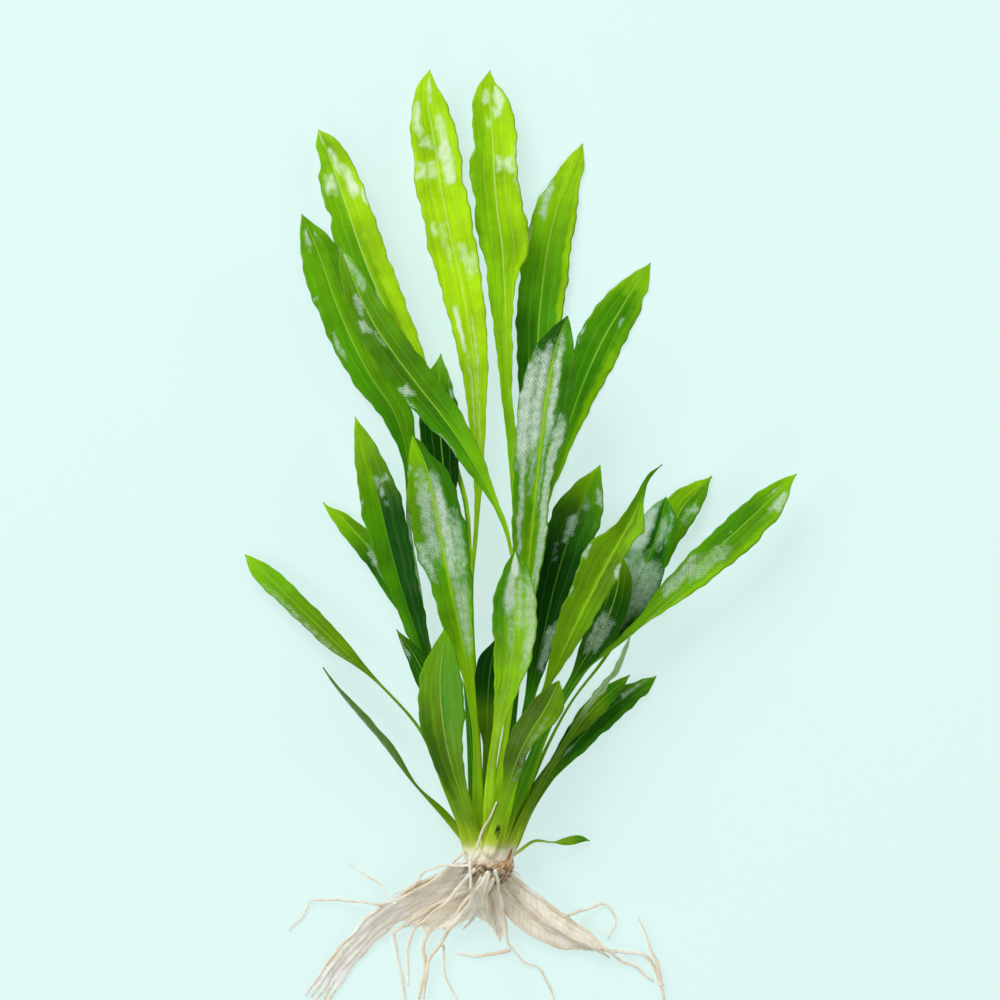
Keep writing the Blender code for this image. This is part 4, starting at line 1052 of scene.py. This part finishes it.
        right=((5, 1.4), (10, 2.3), (15, 2.2), (20, 1.5), (24, -0.3), (27, -1.3), (30, 0.3), (35, 2.0),
               (40, 2.4), (50, 2.2), (60, 3.2), (70, 2.7), (80, 2.3), (92, 1.2)),
        painted_sheen=((-1, -0.8, 42, 47, 0.95), (0.62, 0.95, 43, 48, 0.95), (-1, -0.88, 52, 55, 0.7),
             (-1, -0.82, 60, 63, 0.95)),
        tints=((0.3, 1, 18, 36, "bright", 0.6), (-0.12, 0.12, 0, 110, "yellow", 0.5),
               (0.1, 0.5, 40, 60, "moss", 0.4))),
    "leaf_24": dict(
        colours="yellow fresh leaf bright/mid", quilt=0.45,
        left=((47, 0), (52, 0.6), (58, 1.6), (66, 1.2), (74, 0.2)),
        right=((6, 1.6), (10, 2.8), (15, 1.6), (20, 0.8), (30, 0.5), (40, 0)),
        painted_sheen=((-0.62, -0.06, 15, 52, 0.78), (0.04, 0.47, 17, 62, 0.95), (0.42, 0.85, 32, 60, 0.7),
             (-0.95, -0.55, 42, 58, 0.8), (0.1, 0.8, 60, 90, 0.75), (-1, -0.7, 11, 14, 0.7)),
        tints=((-1, -0.6, 14, 42, "olive", 0.7), (0.5, 1, 8, 34, "mid", 0.6),
               (-0.12, 0.1, 20, 102, "yellow", 0.5))),
    "leaf_25": dict(
        colours="lime fresh/bright leaf/green olive/fresh",
        left=((80, 0), (90, 1.2), (97, 0.3), (110, 0.8), (120, 1.2), (132, 0.9)),
        right=((100, 0), (110, 0.5), (120, 1.0), (130, 0.4)),
        painted_sheen=((0, 0.6, 4, 12, 0.65), (0.1, 0.8, 12, 20, 0.6), (-0.6, 0, 22, 28, 0.65),
             (-0.75, -0.3, 30, 37, 0.85), (-0.3, 0, 36, 44, 0.5), (-0.95, -0.4, 60, 67, 0.9),
             (-1, -0.8, 68, 71, 0.7), (-1, -0.85, 83, 100, 0.7)),
        tints=((-0.6, -0.1, 44, 95, "mid", 0.6), (0.2, 0.9, 46, 80, "leaf", 0.4),
               (-1, 1, 22, 74, "moss", 0.4))),
    # its white tint at the tip is a painted highlight, where the curled tip catches the light
    "leaf_26": dict(
        colours="yellow bright fresh/bright leaf", quilt=0.4,
        left=((10, 1.0), (15, 0.4), (30, 0.4), (36, 1.0), (50, 1.0), (62, 0.5)),
        right=((44, 0.2), (52, 1.1), (62, 0)),
        painted_sheen=((-0.3, 0.3, 2, 9, 1.4), (-0.5, 0.1, 8, 25, 1.0), (0.1, 0.5, 8, 32, 0.6),
             (0.5, 1, 8, 46, 0.72), (-0.3, 0.1, 24, 40, 0.5)),
        tints=((-1, -0.5, 8, 36, "leaf", 0.7), (-0.3, 0.2, 0, 8, "white", 0.9))),
    "leaf_27": dict(
        colours="olive moss/olive olive/green fresh", ruffle=0.3, quilt=0.2,
        left=((5, 1.2), (10, 1.5), (15, 1.5), (20, 0.6), (30, 0.3)),
        right=((10, 0.5), (20, 0.2), (36, 0.2), (45, 1.9), (60, 1.5), (76, 0)),
        tints=((-1, -0.5, 30, 70, "deep", 0.6), (0.4, 1, 20, 60, "olive", 0.5),
               (-0.06, 0.06, 5, 70, "mid", 0.6))),
    # its last tint is a small, nearly black spot near its foot
    "leaf_28": dict(
        colours="olive moss moss/olive moss/olive",
        left=((5, 1.0), (10, 1.2), (20, 1.1), (30, 0.4)),
        right=((8, 0.2), (12, 0.6), (20, 2.7), (30, 4.0), (40, 1.2), (48, 0)),
        painted_sheen=((0.2, 0.9, 14, 45, 0.3),), tints=((0.2, 0.9, 64.2, 67.4, "spot", 1.3),)),
    "leaf_29": dict(colours="olive olive leaf leaf", ruffle=0.1, quilt=0.1, foot=0),
}
YOUNG = ("leaf_09", "leaf_10", "leaf_11")
OLD = ("leaf_04", "leaf_06", "leaf_13", "leaf_14", "leaf_16", "leaf_18", "leaf_20")
for number, (name, look) in enumerate(LEAF_LOOKS.items()):
    slot = "leaf_young" if name in YOUNG else "leaf_old" if name in OLD else "leaf_grown"
    leaf = make_leaf(name, number, SKINS[slot], **look)
    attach(leaf, "root")
    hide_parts(name)

# ---- Table, light and camera ----
# The plant lies on a plain pale mint table under four large soft lamps; the camera looks
# straight down on it, as the photograph shows it from the front.

PHOTO_WIDTH = 400 * MM  # real width that the photograph shows at the plant's depth
PLANT_DEPTH = 10 * MM  # the height above the table of that depth
VIEW_OFFSET = (4.4 * MM, 137.5 * MM)  # the photograph's middle from the crown's top
LENS = 200
SENSOR = 36
TABLE_SIZE = 6
TABLE_DROP = 0.2 * MM  # the table's top is this much below the plant's lowest point
# each lamp's place, size and power; all of them shine at the plant's middle
LAMPS = {
    "softbox": ((-0.9, 1.5, 1.5), 1.3, 38),
    "right_lamp": ((1.7, 0.2, 1.3), 1.2, 15),
    "front_lamp": ((-0.3, -1.8, 1.5), 1.2, 13.5),
    "left_lamp": ((-1.8, -0.2, 1.2), 1.2, 11),
}

mint, tree, _ = new_material("painted_table")
set_surface(tree, {"Base Color": "#7E8D8B", "Roughness": 0.9, "Specular IOR Level": 0.1,
                   "Emission Color": "#E1FAF7", "Emission Strength": 0.72})
bpy.ops.mesh.primitive_plane_add(size=TABLE_SIZE)
floor = bpy.context.object
floor.name = "table"
floor.location.z = -TABLE_DROP
floor.data.materials.append(mint)

for name, (place, size, power) in LAMPS.items():
    lamp = bpy.data.lights.new(name, "AREA")
    lamp.size = size
    lamp.energy = power
    holder = put(name, lamp)
    holder.location = place
    holder.rotation_mode = "QUATERNION"
    holder.rotation_quaternion = (-Vector(place)).to_track_quat("-Z", "Y")
    holder.visible_camera = False
world = bpy.data.worlds.new("studio")
bpy.context.scene.world = world
world.use_nodes = True
connect(world.node_tree, world.node_tree.nodes["Background"], {0: (0.95, 1.0, 0.98, 1), 1: 0.12})

camera = put("camera", bpy.data.cameras.new("camera"))
camera.data.lens = LENS
camera.data.sensor_width = SENSOR
camera.location = (crown_middle[0] + VIEW_OFFSET[0], crown_top_y + VIEW_OFFSET[1],
                   PHOTO_WIDTH * LENS / SENSOR + PLANT_DEPTH)
bpy.context.scene.camera = camera
bpy.context.scene.view_settings.view_transform = "Standard"
